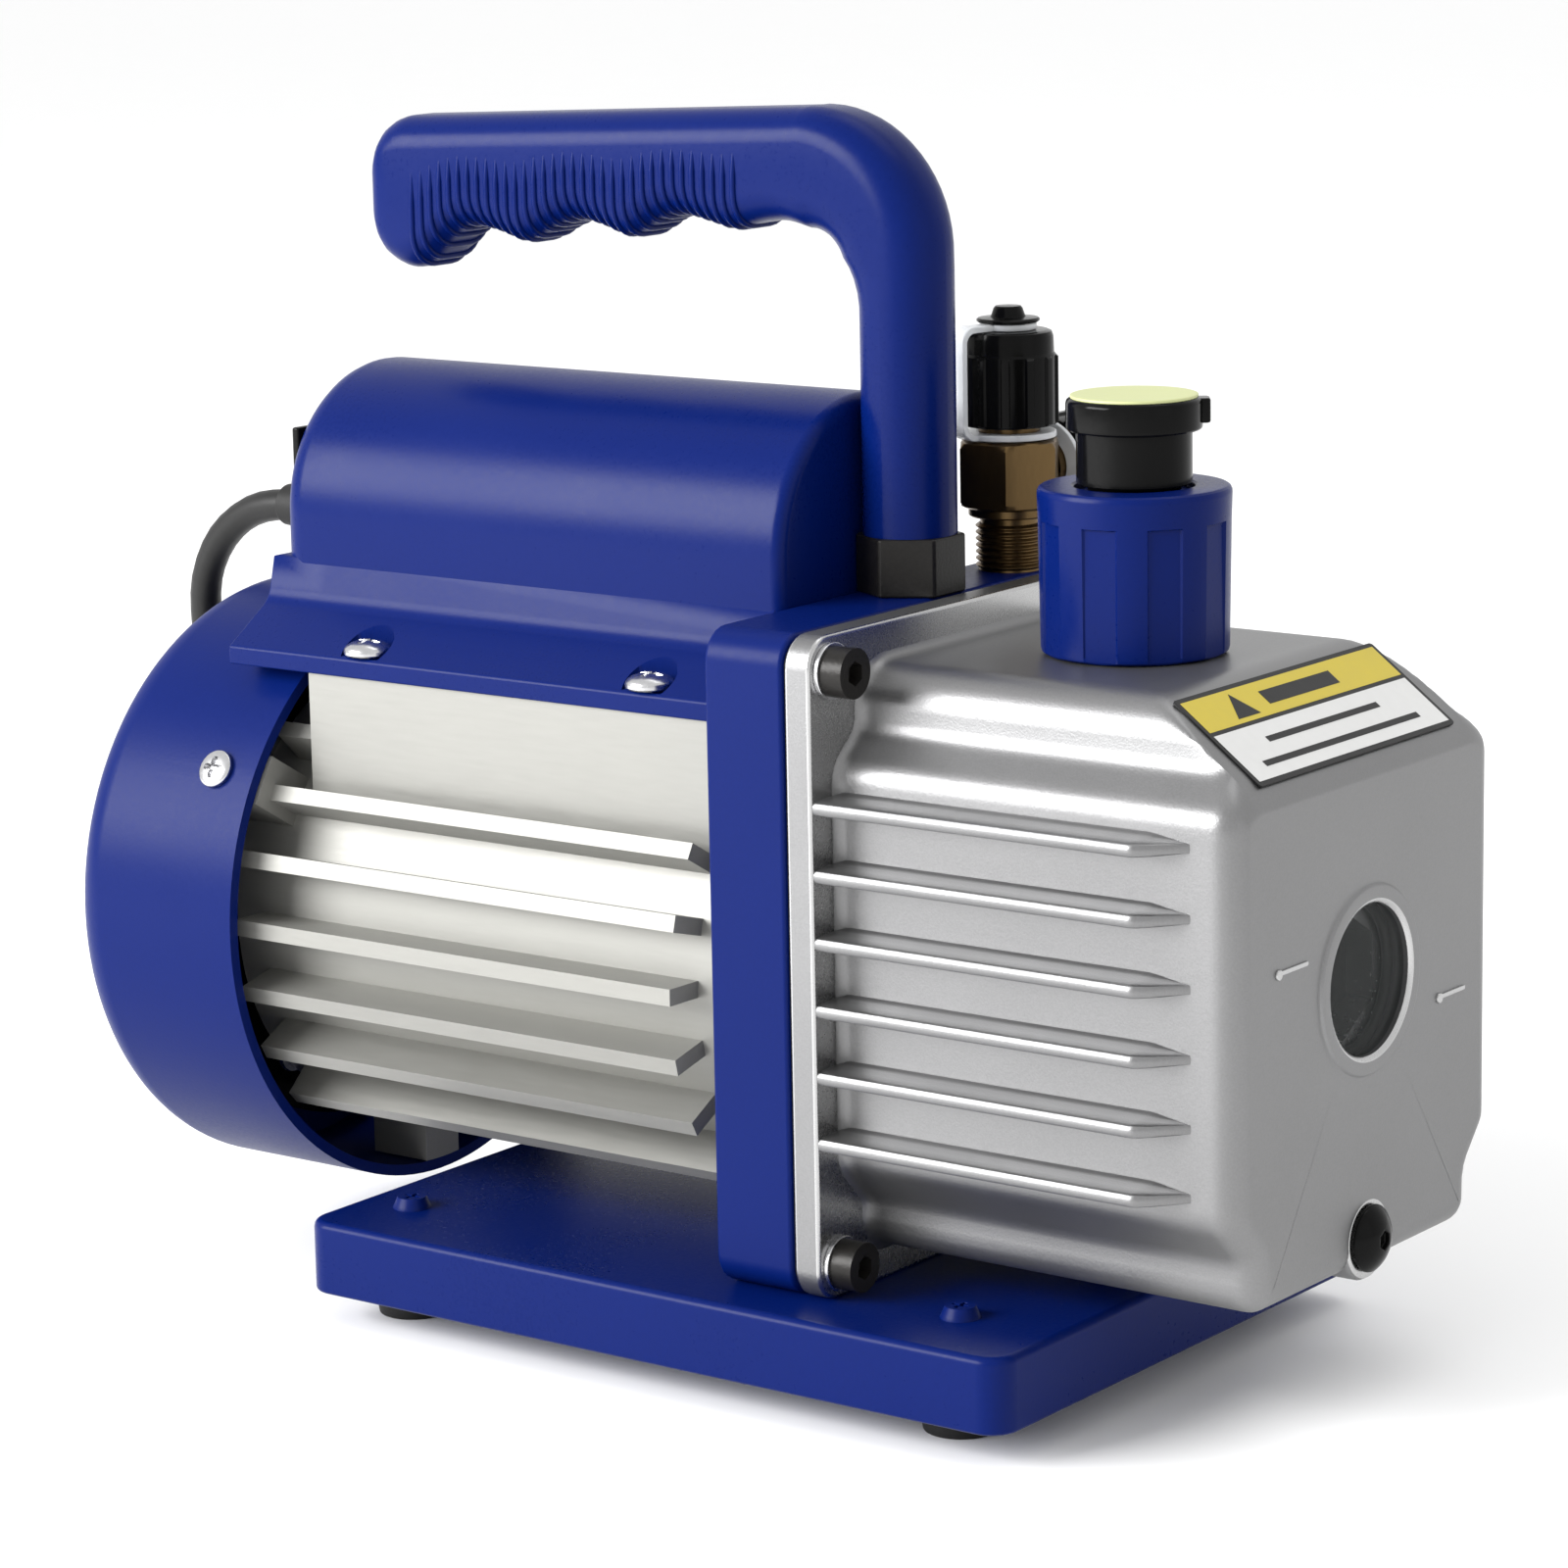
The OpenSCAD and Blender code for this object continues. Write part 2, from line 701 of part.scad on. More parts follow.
module housing_fins() {
    len = 14 + 92.7;
    for (s = [0, 1], i = [0 : fin_count - 1]) mirror([0, s, 0])
        translate([-92.7, 0, axis_z]) rotate([42.8 - fin_step * i + 180, 0, 0])
            mirror([0, 0, 1]) translate([0, housing_r - 3, -fin_t / 2]) cube([len, fin_r - housing_r + 3, fin_t]);
}

module motor_housing() {
    color("whitesmoke") difference() {
        union() {
            xcyl(housing_back, bracket_back - housing_back, housing_r, fn = fine);
            housing_fins();
            block([saddle_back, -saddle_hw, axis_z + 24], [bracket_back, saddle_hw, saddle_top]);
            intersection() {
                cover_screw_places() translate([-4, -5, 30]) cube([14, 10, 27.6]);
                xcyl(-120, 60, cover_r - cover_wall - gap, fn = fine);
            }
        }
        xcyl(housing_back - 1, 130, stator_r + run, fn = fine);
        translate([-40, 0, axis_z + 30]) cylinder(h = 40, r = 8);
        box_screw_places() translate([0, 0, saddle_top - 10]) cylinder(h = 11, r = 1.8 + run);
        cover_screw_places() translate([0, 0, 49]) cylinder(h = 12, r = motor_screw_r + run);
        shield_screw_places() translate([0, 0, -motor_screw_l - 1]) cylinder(h = 30, r = motor_screw_r + run);
        bracket_motor_screw_places() translate([0, 0, -motor_screw_l - 1]) cylinder(h = 30, r = motor_screw_r + run);
        xcyl(housing_back - 20, 20, housing_r + run, fn = fine);
    }
}

module stator_core() {
    slots = 12;
    color("slategray") difference() {
        xcyl(stack[0], stack[1] - stack[0], stator_r, fn = fine);
        xcyl(stack[0] - 1, 90, stator_bore_r, fn = fine);
        for (i = [0 : slots - 1]) translate([stack[0] - 1, 0, axis_z]) rotate([i * 360 / slots, 0, 0])
            translate([0, -3, stator_bore_r - 1]) cube([90, 6, 9]);
    }
}

module stator_windings() {
    color("chocolate") for (x = [stack[0] - 11, stack[1]]) xring(x, 11, 38, 26.5, fn = fine);
}

module rotor_core() {
    color("gray") difference() {
        union() {
            xcyl(stack[0], stack[1] - stack[0], rotor_r, fn = fine);
            xcyl(stack[0] - 5, stack[1] - stack[0] + 10, 21, fn = fine);
        }
        xcyl(stack[0] - 10, 100, shaft_r + 2);
    }
}

module motor_shaft() {
    color("lightgray") {
        xcyl(-126, 126 + pump_x[1] + 6, shaft_r);
        xcyl(stack[0] - 8, stack[1] - stack[0] + 16, shaft_r + 2);
    }
}

module bearing_outer_rings() {
    color("silver") for (x = bearing_x) difference() {
        xcyl(x, bearing_w, bearing_r);
        xcyl(x - 1, bearing_w + 2, 12.4);
        translate([x + bearing_w / 2, 0, axis_z]) rotate([0, 90, 0])
            rotate_extrude() translate([bearing_pitch_r, 0]) circle(r = ball_r + run);
    }
}

module bearing_inner_rings() {
    color("silver") for (x = bearing_x) difference() {
        xcyl(x, bearing_w, 9.4);
        xcyl(x - 1, bearing_w + 2, shaft_r);
        translate([x + bearing_w / 2, 0, axis_z]) rotate([0, 90, 0])
            rotate_extrude() translate([bearing_pitch_r, 0]) circle(r = ball_r + run);
    }
}

// Balls and the ring that spaces them, one set to a bearing
module bearing_balls() {
    color("gold") for (x = bearing_x) {
        xring(x + bearing_w / 2 - 0.7, 1.4, 11.9, 10.1);
        for (i = [0 : ball_count - 1]) translate([x + bearing_w / 2, 0, axis_z])
            rotate([i * 360 / ball_count, 0, 0]) translate([0, 0, bearing_pitch_r]) sphere(r = ball_r);
    }
}

module rear_end_shield() {
    color("whitesmoke") difference() {
        union() {
            xcyl(bearing_x[0], 4, 24);
            xcyl(bearing_x[0], 10, 20);
            xcyl(shield_back, housing_back - shield_back, housing_r, fn = fine);
        }
        xcyl(bearing_x[0] - 1, bearing_w + 1, bearing_r + run);
        xcyl(shield_back, 20, 12);
        shield_screw_places() translate([0, 0, -20]) cylinder(h = 30, r = motor_screw_r + 0.1);
        for (i = [0 : 5]) translate([-110, 0, axis_z]) rotate([i * 60, 0, 0])
            translate([0, 0, 33]) rotate([0, 90, 0]) cylinder(h = 30, r = 5);
    }
}

module cooling_fan() {
    color("dimgray") difference() {
        union() {
            xcyl(fan_back, 15, 10);
            xcyl(fan_back + 11, 2, fan_r, fn = fine);
            for (i = [0 : fan_blades - 1]) translate([fan_back, 0, axis_z]) rotate([i * 360 / fan_blades, 0, 0])
                translate([0, -1, 8]) cube([12, 2, fan_r - 8]);
        }
        xcyl(fan_back - 10, 40, shaft_r);
    }
}

module fan_cover() {
    round_r = 9;
    slot_count = 10;
    color("mediumblue") difference() {
        translate([cover_back, 0, axis_z]) rotate([0, 90, 0]) difference() {
            rotate_extrude($fn = fine) {
                square([cover_r - round_r, cover_l]);
                translate([0, round_r]) square([cover_r, cover_l - round_r]);
                translate([cover_r - round_r, round_r]) circle(r = round_r);
            }
            translate([0, 0, cover_wall]) cylinder(h = cover_l, r = cover_r - round_r, $fn = fine);
            translate([0, 0, round_r]) cylinder(h = cover_l, r = cover_r - cover_wall, $fn = fine);
        }
        intersection() {
            for (i = [0 : slot_count - 1])
                block([cover_back - 1, -60, axis_z - 45 + i * 9.5], [cover_back + 5, 60, axis_z - 40 + i * 9.5]);
            difference() {
                xcyl(cover_back - 1, 6, 46);
                xcyl(cover_back - 2, 9, 9);
            }
        }
        cover_screw_places() translate([0, 0, 50]) cylinder(h = 12, r = 2.1);
    }
}

// Pan-head screw, seat at z = 0, head upwards
module pan_screw() {
    head_h = 1.8;
    translate([0, 0, -motor_screw_l]) cylinder(h = motor_screw_l + 0.1, r = motor_screw_r);
    difference() {
        cylinder(h = head_h, r1 = 3.8, r2 = 2.6);
        for (a = [0, 90]) rotate([0, 0, a]) translate([0, 0, head_h]) cube([3.6, 0.8, head_h], center = true);
    }
}

module motor_screws() {
    color("silver") {
        cover_screw_places() translate([0, 0, cover_r]) pan_screw();
        shield_screw_places() pan_screw();
        bracket_motor_screw_places() pan_screw();
    }
}

// ---- terminal box

// Arched outline of the box in (y, z)
module arch(hw, low, top) {
    translate([-hw, low]) square([2 * hw, top - hw - low]);
    translate([0, top - hw]) circle(r = hw, $fn = fine);
}

module terminal_box() {
    front = bracket_back - 0.6;
    color("mediumblue") difference() {
        union() {
            difference() {
                x_extrude(box_back, front - box_back) arch(box_hw, saddle_top, box_top);
                translate([0, 0, -100 + saddle_top]) cube([400, 200, 200], center = true);
            }
            x_extrude(box_back - 1.6, front - box_back)
                polygon([[-box_hw, ledge_top], [-ledge_hw, ledge_edge], [-ledge_hw, saddle_top],
                    [ledge_hw, saddle_top], [ledge_hw, ledge_edge], [box_hw, ledge_top]]);
        }
        x_extrude(box_back + box_wall, front - box_back - 2 * box_wall)
            arch(box_hw - box_wall, 0, box_top - box_wall);
        xcyl(box_back - 5, cover_front + gap - box_back + 5, cover_r + gap, fn = fine);
        box_screw_places() translate([0, 0, 100]) cylinder(h = 50, r = 2);
        box_screw_places() translate([0, 0, ledge_edge + 0.8]) cylinder(h = 20, r = 5);
        xcyl(box_back - 5, 10, 4.5, y = cord_exit[1], z = cord_exit[2]);
        translate(switch_pos) cube([10, switch_w, switch_h], center = true);
    }
}

module terminal_box_screws() {
    color("silver") box_screw_places() {
        translate([0, 0, saddle_top - 8]) cylinder(h = ledge_edge + 1 - saddle_top + 8, r = 1.8);
        translate([0, 0, ledge_edge + 0.8]) difference() {
            cylinder(h = 3, r1 = 4.6, r2 = 3.2);
            for (a = [0, 90]) rotate([0, 0, a]) translate([0, 0, 3]) cube([4.4, 1, 3], center = true);
        }
    }
}

module capacitor() {
    color("white") {
        xcyl(-72, 74, capacitor_r, z = capacitor_z);
        for (y = [-5, 5]) block([1, y - 0.4, capacitor_z - 3], [9, y + 0.4, capacitor_z + 3]);
    }
}

module capacitor_clip() {
    band_r = capacitor_r + 1.1;
    color("silver") difference() {
        union() {
            xcyl(-42, 14, band_r, z = capacitor_z);
            block([-42, -band_r, saddle_top], [-28, band_r, capacitor_z]);
        }
        xcyl(-43, 16, capacitor_r + run, z = capacitor_z);
        block([-43, -capacitor_r, saddle_top - 1], [-27, capacitor_r, capacitor_z]);
    }
}

module switch_bezel() {
    color("black") translate(switch_pos) difference() {
        union() {
            translate([-0.9, 0, 0]) cube([1.8, switch_w + 4, switch_h + 4], center = true);
            translate([5, 0, 0]) cube([10, switch_w - 0.2, switch_h - 0.2], center = true);
        }
        translate([-2, 0, 0]) cube([14, switch_w - 2.6, switch_h - 2.6], center = true);
    }
}

rocker_pivot = switch_pos + [2.2, 0, 0];

module rocker_switch() {
    rocker_w = switch_w - 3.4;
    color("red") translate(rocker_pivot) difference() {
        rotate([90, 0, 0]) linear_extrude(height = rocker_w, center = true)
            polygon([[0, -7.2], [-3.6, -7.2], [-5.6, -4], [-4.2, 0], [-2.4, 7.2], [0, 7.2], [1.2, 0]]);
        translate([-8, 0, 0]) cube([2, 1, 1], center = true);
    }
}

module strain_relief() {
    length = 27;
    color("black") translate(cord_exit) rotate([0, -90, 0]) difference() {
        union() {
            cylinder(h = length, r1 = 6, r2 = 4.2);
            translate([0, 0, -4.5]) cylinder(h = 5, r = 4.4);
            translate([0, 0, 0]) cylinder(h = 2, r = 7.5);
            translate([0, 0, -4.5]) cylinder(h = 1.8, r = 5.6);
        }
        translate([0, 0, -10]) cylinder(h = 60, r = cord_r + 0.1);
    }
}

// ---- cord and plug

function unit(v) = v / norm(v);

// Points along a smooth curve through a list of points
function curve_points(p, steps) = [for (i = [0 : len(p) - 2], k = [0 : steps - 1])
    let (a = p[max(i - 1, 0)], b = p[i], c = p[i + 1], d = p[min(i + 2, len(p) - 1)], t = k / steps)
    0.5 * (2 * b + (c - a) * t + (2 * a - 5 * b + 4 * c - d) * t * t + (3 * b - a - 3 * c + d) * t * t * t),
    p[len(p) - 1]];

// One round tube swept along points
module tube(points, r, sides) {
    n = len(points);
    along = [for (i = [0 : n - 1]) unit(points[min(i + 1, n - 1)] - points[max(i - 1, 0)])];
    side = [for (t = along) unit(cross(t, [0.05, 1, 0.1]))];
    up = [for (i = [0 : n - 1]) cross(along[i], side[i])];
    rings = [for (i = [0 : n - 1], k = [0 : sides - 1])
        points[i] + r * (cos(k * 360 / sides) * side[i] + sin(k * 360 / sides) * up[i])];
    walls = [for (i = [0 : n - 2], k = [0 : sides - 1])
        [i * sides + k, i * sides + (k + 1) % sides, (i + 1) * sides + (k + 1) % sides, (i + 1) * sides + k]];
    ends = [[for (k = [sides - 1 : -1 : 0]) k], [for (k = [0 : sides - 1]) (n - 1) * sides + k]];
    polyhedron(points = rings, faces = concat(walls, ends), convexity = 6);
}

module power_cord() {
    color("black") tube(curve_points(cord_route, 2), cord_r, 10);
}

module cord_coil() {
    color("black") translate([coil_x, coil_y, 0]) rotate_extrude($fn = fine)
        round_rect([coil_mid_r - coil_half_w, 0], [coil_mid_r + coil_half_w, 2 * cord_d], cord_r);
}

plug_y = coil_y - coil_mid_r - coil_half_w + cord_r;
plug_z = 1.5 * cord_d;

plug_x = -14;            // where the cord enters the plug's sleeve
plug_sleeve_l = 22;
plug_flare_l = 5;
plug_body_l = 22;
plug_body_r = 9.5;

module mains_plug() {
    color("black") translate([plug_x, plug_y, plug_z]) rotate([0, 90, 0]) difference() {
        union() {
            cylinder(h = plug_sleeve_l, r1 = cord_r + 1.2, r2 = 6);
            translate([0, 0, plug_sleeve_l]) cylinder(h = plug_flare_l, r1 = 6, r2 = plug_body_r);
            translate([0, 0, plug_sleeve_l + plug_flare_l]) cylinder(h = plug_body_l, r = plug_body_r);
        }
        translate([0, 0, -1]) cylinder(h = 20, r = cord_r);
    }
}

// Two flat pins and a round one
module plug_pins() {
    face = plug_x + plug_sleeve_l + plug_flare_l + plug_body_l;
    color("gold") {
        for (s = [-1, 1]) translate([face, plug_y + s * 5 - 0.75, plug_z - 2]) cube([16, 1.5, 6.3]);
        translate([face, plug_y, plug_z - 5.5]) rotate([0, 90, 0]) cylinder(h = 19, r = 2.4);
    }
}

// ---- vane pump inside the casing

cyl_z = axis_z - cylinder_drop;

module pump_cylinder() {
    color("darkgray") difference() {
        union() {
            xcyl(pump_x[0], pump_x[1] - pump_x[0], 31, z = cyl_z, fn = fine);
            block([pump_x[0], -22, cyl_z], [pump_x[1], 22, cyl_z + 31]);
        }
        xcyl(pump_x[0] + 5, 60, cylinder_r, z = cyl_z, fn = fine);
        xcyl(pump_x[0] - 1, 10, shaft_r + 0.1);
        for (x = [57, 64]) translate([x, -8, cyl_z]) cylinder(h = 40, r = 2.5);
        xcyl(pump_x[0] - 1, 8, 2, y = inlet_y, z = inlet_z);
        stop_pin_places() translate([0, 0, -stop_pin_l]) cylinder(h = stop_pin_l + 1, r = stop_pin_r);
        pump_screw_places() translate([0, 0, -12]) cylinder(h = 13, r = 2 + run);
    }
}

module pump_screw_places() {
    for (a = [20, 160, 235, 305]) translate([pump_x[1], 27.4 * cos(a), cyl_z + 27.4 * sin(a)])
        rotate([0, 90, 0]) children();
}

module pump_rotor() {
    color("gray") difference() {
        xcyl(pump_x[0] + 5.1, pump_x[1] - pump_x[0] - 5.2, vane_rotor_r, fn = fine);
        xcyl(pump_x[0], 60, shaft_r);
        for (s = [-1, 1]) translate([0, s * 15, axis_z]) cube([200, 17, vane_t + 0.1], center = true);
    }
}

// Two blades, drawn back into their slots
module vanes() {
    color("saddlebrown") for (s = [-1, 1]) translate([0, s * 15.2, axis_z])
        translate([pump_x[0] + 5.2, -4.9, -vane_t / 2]) cube([pump_x[1] - pump_x[0] - 5.4, 9.8, vane_t]);
}

module vane_springs() {
    color("silver") for (s = [-1, 1], x = [54, 64, 74]) translate([x, s * 6.6, axis_z])
        rotate([s * -90, 0, 0]) cylinder(h = 3.7, r = 1.6);
}

module pump_end_cover() {
    color("darkgray") difference() {
        xcyl(pump_x[1], 6, 31, z = cyl_z, fn = fine);
        xcyl(pump_x[1] - 1, 10, shaft_r + run);
        pump_screw_places() translate([0, 0, -1]) cylinder(h = 10, r = 2.2);
    }
}

module pump_cover_screws() {
    color("dimgray") pump_screw_places() difference() {
        union() {
            translate([0, 0, -10]) cylinder(h = 17, r = 2);
            translate([0, 0, 6]) cylinder(h = 4, r = 3.5);
        }
        translate([0, 0, 8]) cylinder(h = 4, r = 3 / sqrt(3), $fn = 6);
    }
}

valve_z = cyl_z + 31;

module valve_reed() {
    color("silver") block([50, -12, valve_z + 0.05], [68, 12, valve_z + 0.35]);
}

module stop_pin_places() {
    for (y = [-8, 8]) translate([46.8, y, valve_z]) children();
}

// Arm that limits the reed, pressed into the cylinder by two pins
module valve_stop() {
    color("gray") {
        block([44, -12, valve_z], [49.7, 12, valve_z + 2.4]);
        block([44, -12, valve_z + 2], [68, 12, valve_z + 3.2]);
        stop_pin_places() translate([0, 0, -stop_pin_l]) cylinder(h = stop_pin_l + 1, r = stop_pin_r);
    }
}

module shaft_seal() {
    color("black") xring(bracket_front - 4, 4, 11, shaft_r + run);
}

base_plate();
rubber_feet();
foot_screws();
foot_nuts();
bracket_screws();
pump_bracket();
casing_gasket();
oil_casing();
casing_bolts();
casing_washers();
sight_glass_window();
sight_glass_seal();
sight_glass_retainer();
drain_plug();
drain_plug_seal();
caution_label();
exhaust_knob();
exhaust_seal();
exhaust_plug();
exhaust_plug_disc();
intake_fitting();
intake_cap();
intake_strap();
side_cap();
side_strap();
handle();
handle_stud();
handle_lock_nut();
motor_housing();
stator_core();
stator_windings();
rotor_core();
motor_shaft();
bearing_outer_rings();
bearing_inner_rings();
bearing_balls();
rear_end_shield();
cooling_fan();
fan_cover();
motor_screws();
terminal_box();
terminal_box_screws();
capacitor();
capacitor_clip();
switch_bezel();
rocker_switch();
strain_relief();
power_cord();
cord_coil();
mains_plug();
plug_pins();
pump_cylinder();
pump_rotor();
vanes();
vane_springs();
pump_end_cover();
pump_cover_screws();
valve_reed();
valve_stop();
shaft_seal();
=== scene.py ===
"""Looks of a rotary vane vacuum pump: its visible pieces, materials, studio light and camera."""

import json
from math import atan2, cos, hypot, pi, radians, sin, sqrt, tan

import bmesh
import bpy
import numpy as np
from mathutils import Matrix, Vector
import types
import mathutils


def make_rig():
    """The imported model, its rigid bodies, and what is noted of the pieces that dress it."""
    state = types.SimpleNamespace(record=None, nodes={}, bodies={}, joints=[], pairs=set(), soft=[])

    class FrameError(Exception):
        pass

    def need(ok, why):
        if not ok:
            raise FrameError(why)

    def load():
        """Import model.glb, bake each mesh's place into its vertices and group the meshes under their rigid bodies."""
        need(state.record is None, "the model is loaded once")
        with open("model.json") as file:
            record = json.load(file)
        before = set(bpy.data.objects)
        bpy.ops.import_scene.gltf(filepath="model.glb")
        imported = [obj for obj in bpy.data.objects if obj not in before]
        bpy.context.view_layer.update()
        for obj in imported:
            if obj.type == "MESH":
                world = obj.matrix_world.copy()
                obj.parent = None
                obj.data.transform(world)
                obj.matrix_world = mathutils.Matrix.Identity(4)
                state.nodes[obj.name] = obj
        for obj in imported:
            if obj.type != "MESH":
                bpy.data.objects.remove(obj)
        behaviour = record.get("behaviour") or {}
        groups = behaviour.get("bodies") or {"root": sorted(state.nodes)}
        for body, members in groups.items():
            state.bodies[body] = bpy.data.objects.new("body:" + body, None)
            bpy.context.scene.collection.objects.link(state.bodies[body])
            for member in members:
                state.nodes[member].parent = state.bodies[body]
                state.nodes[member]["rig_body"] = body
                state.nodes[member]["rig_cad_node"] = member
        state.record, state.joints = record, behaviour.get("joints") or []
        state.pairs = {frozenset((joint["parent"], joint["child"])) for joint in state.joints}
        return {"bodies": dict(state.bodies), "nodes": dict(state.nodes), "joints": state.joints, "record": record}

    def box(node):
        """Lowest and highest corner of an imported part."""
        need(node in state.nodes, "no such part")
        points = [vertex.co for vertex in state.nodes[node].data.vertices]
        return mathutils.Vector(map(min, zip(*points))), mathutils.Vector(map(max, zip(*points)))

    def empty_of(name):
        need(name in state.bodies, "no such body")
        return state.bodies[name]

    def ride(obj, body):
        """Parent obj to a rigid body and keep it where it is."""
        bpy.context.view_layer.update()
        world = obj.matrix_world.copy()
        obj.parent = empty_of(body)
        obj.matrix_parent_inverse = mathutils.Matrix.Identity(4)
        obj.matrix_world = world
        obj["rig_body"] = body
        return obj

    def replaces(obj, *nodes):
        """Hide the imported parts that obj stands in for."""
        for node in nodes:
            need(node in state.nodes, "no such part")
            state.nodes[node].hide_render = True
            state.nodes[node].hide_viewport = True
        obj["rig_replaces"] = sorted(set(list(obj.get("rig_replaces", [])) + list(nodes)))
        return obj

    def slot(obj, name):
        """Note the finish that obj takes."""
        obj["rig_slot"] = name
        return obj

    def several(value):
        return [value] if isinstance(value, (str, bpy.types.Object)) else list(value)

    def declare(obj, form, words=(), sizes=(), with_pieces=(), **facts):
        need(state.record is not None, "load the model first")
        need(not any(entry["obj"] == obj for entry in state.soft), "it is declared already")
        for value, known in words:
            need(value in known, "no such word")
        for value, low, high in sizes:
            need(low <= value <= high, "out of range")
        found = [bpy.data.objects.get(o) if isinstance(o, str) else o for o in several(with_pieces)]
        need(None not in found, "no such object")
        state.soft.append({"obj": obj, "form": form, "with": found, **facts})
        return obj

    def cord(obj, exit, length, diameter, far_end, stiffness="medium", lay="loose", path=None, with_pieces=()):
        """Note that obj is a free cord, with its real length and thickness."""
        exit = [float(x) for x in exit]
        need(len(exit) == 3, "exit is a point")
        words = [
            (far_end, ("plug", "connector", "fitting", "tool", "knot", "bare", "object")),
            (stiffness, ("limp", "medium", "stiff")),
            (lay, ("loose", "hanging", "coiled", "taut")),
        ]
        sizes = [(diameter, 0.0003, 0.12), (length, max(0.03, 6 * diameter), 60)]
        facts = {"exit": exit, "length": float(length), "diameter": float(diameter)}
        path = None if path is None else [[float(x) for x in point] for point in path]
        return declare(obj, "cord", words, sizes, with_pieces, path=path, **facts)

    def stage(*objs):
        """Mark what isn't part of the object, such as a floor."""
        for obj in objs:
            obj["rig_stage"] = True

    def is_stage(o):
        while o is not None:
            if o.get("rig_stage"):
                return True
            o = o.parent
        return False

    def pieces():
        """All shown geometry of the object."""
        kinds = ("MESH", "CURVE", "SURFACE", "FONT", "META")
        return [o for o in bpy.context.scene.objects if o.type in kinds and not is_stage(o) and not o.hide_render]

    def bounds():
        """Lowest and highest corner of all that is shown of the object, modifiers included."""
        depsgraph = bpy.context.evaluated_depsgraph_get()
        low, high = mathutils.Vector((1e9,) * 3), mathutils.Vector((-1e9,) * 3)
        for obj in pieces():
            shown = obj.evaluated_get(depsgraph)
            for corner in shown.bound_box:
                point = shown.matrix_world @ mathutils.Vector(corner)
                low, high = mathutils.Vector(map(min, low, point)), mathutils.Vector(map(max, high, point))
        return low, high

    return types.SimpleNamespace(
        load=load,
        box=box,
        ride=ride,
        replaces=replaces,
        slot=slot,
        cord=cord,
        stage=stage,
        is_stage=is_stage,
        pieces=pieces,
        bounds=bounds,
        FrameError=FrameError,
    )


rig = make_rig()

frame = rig.load()
cad_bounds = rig.bounds()
MM = 0.001
SHAFT_Z = 73.5


def mm(*values):
    """Millimetres to metres."""
    return tuple(v * MM for v in values)


# ---- camera

CAMERA_PLACE = (0.571747, -0.764598, 0.297873)
CAMERA_RIGHT = (0.8032966, 0.5952816, -0.0188220)
CAMERA_UP = (-0.1042513, 0.1716552, 0.9796255)
CAMERA_BACK = (0.5863840, -0.7849678, 0.1999490)
LENS_MM = 117.187
SENSOR_MM = 36


def add_camera():
    data = bpy.data.cameras.new("camera")
    data.lens = LENS_MM
    data.sensor_width = SENSOR_MM
    data.clip_start = 0.01
    data.clip_end = 30
    camera = bpy.data.objects.new("camera", data)
    bpy.context.scene.collection.objects.link(camera)
    columns = Matrix([CAMERA_RIGHT, CAMERA_UP, CAMERA_BACK]).transposed()
    camera.matrix_world = Matrix.Translation(CAMERA_PLACE) @ columns.to_4x4()
    bpy.context.scene.camera = camera


add_camera()


# ---- materials

MATERIALS = {}
MOTTLE_SCALE = 25
BUMP_DEPTH = 0.15 * MM


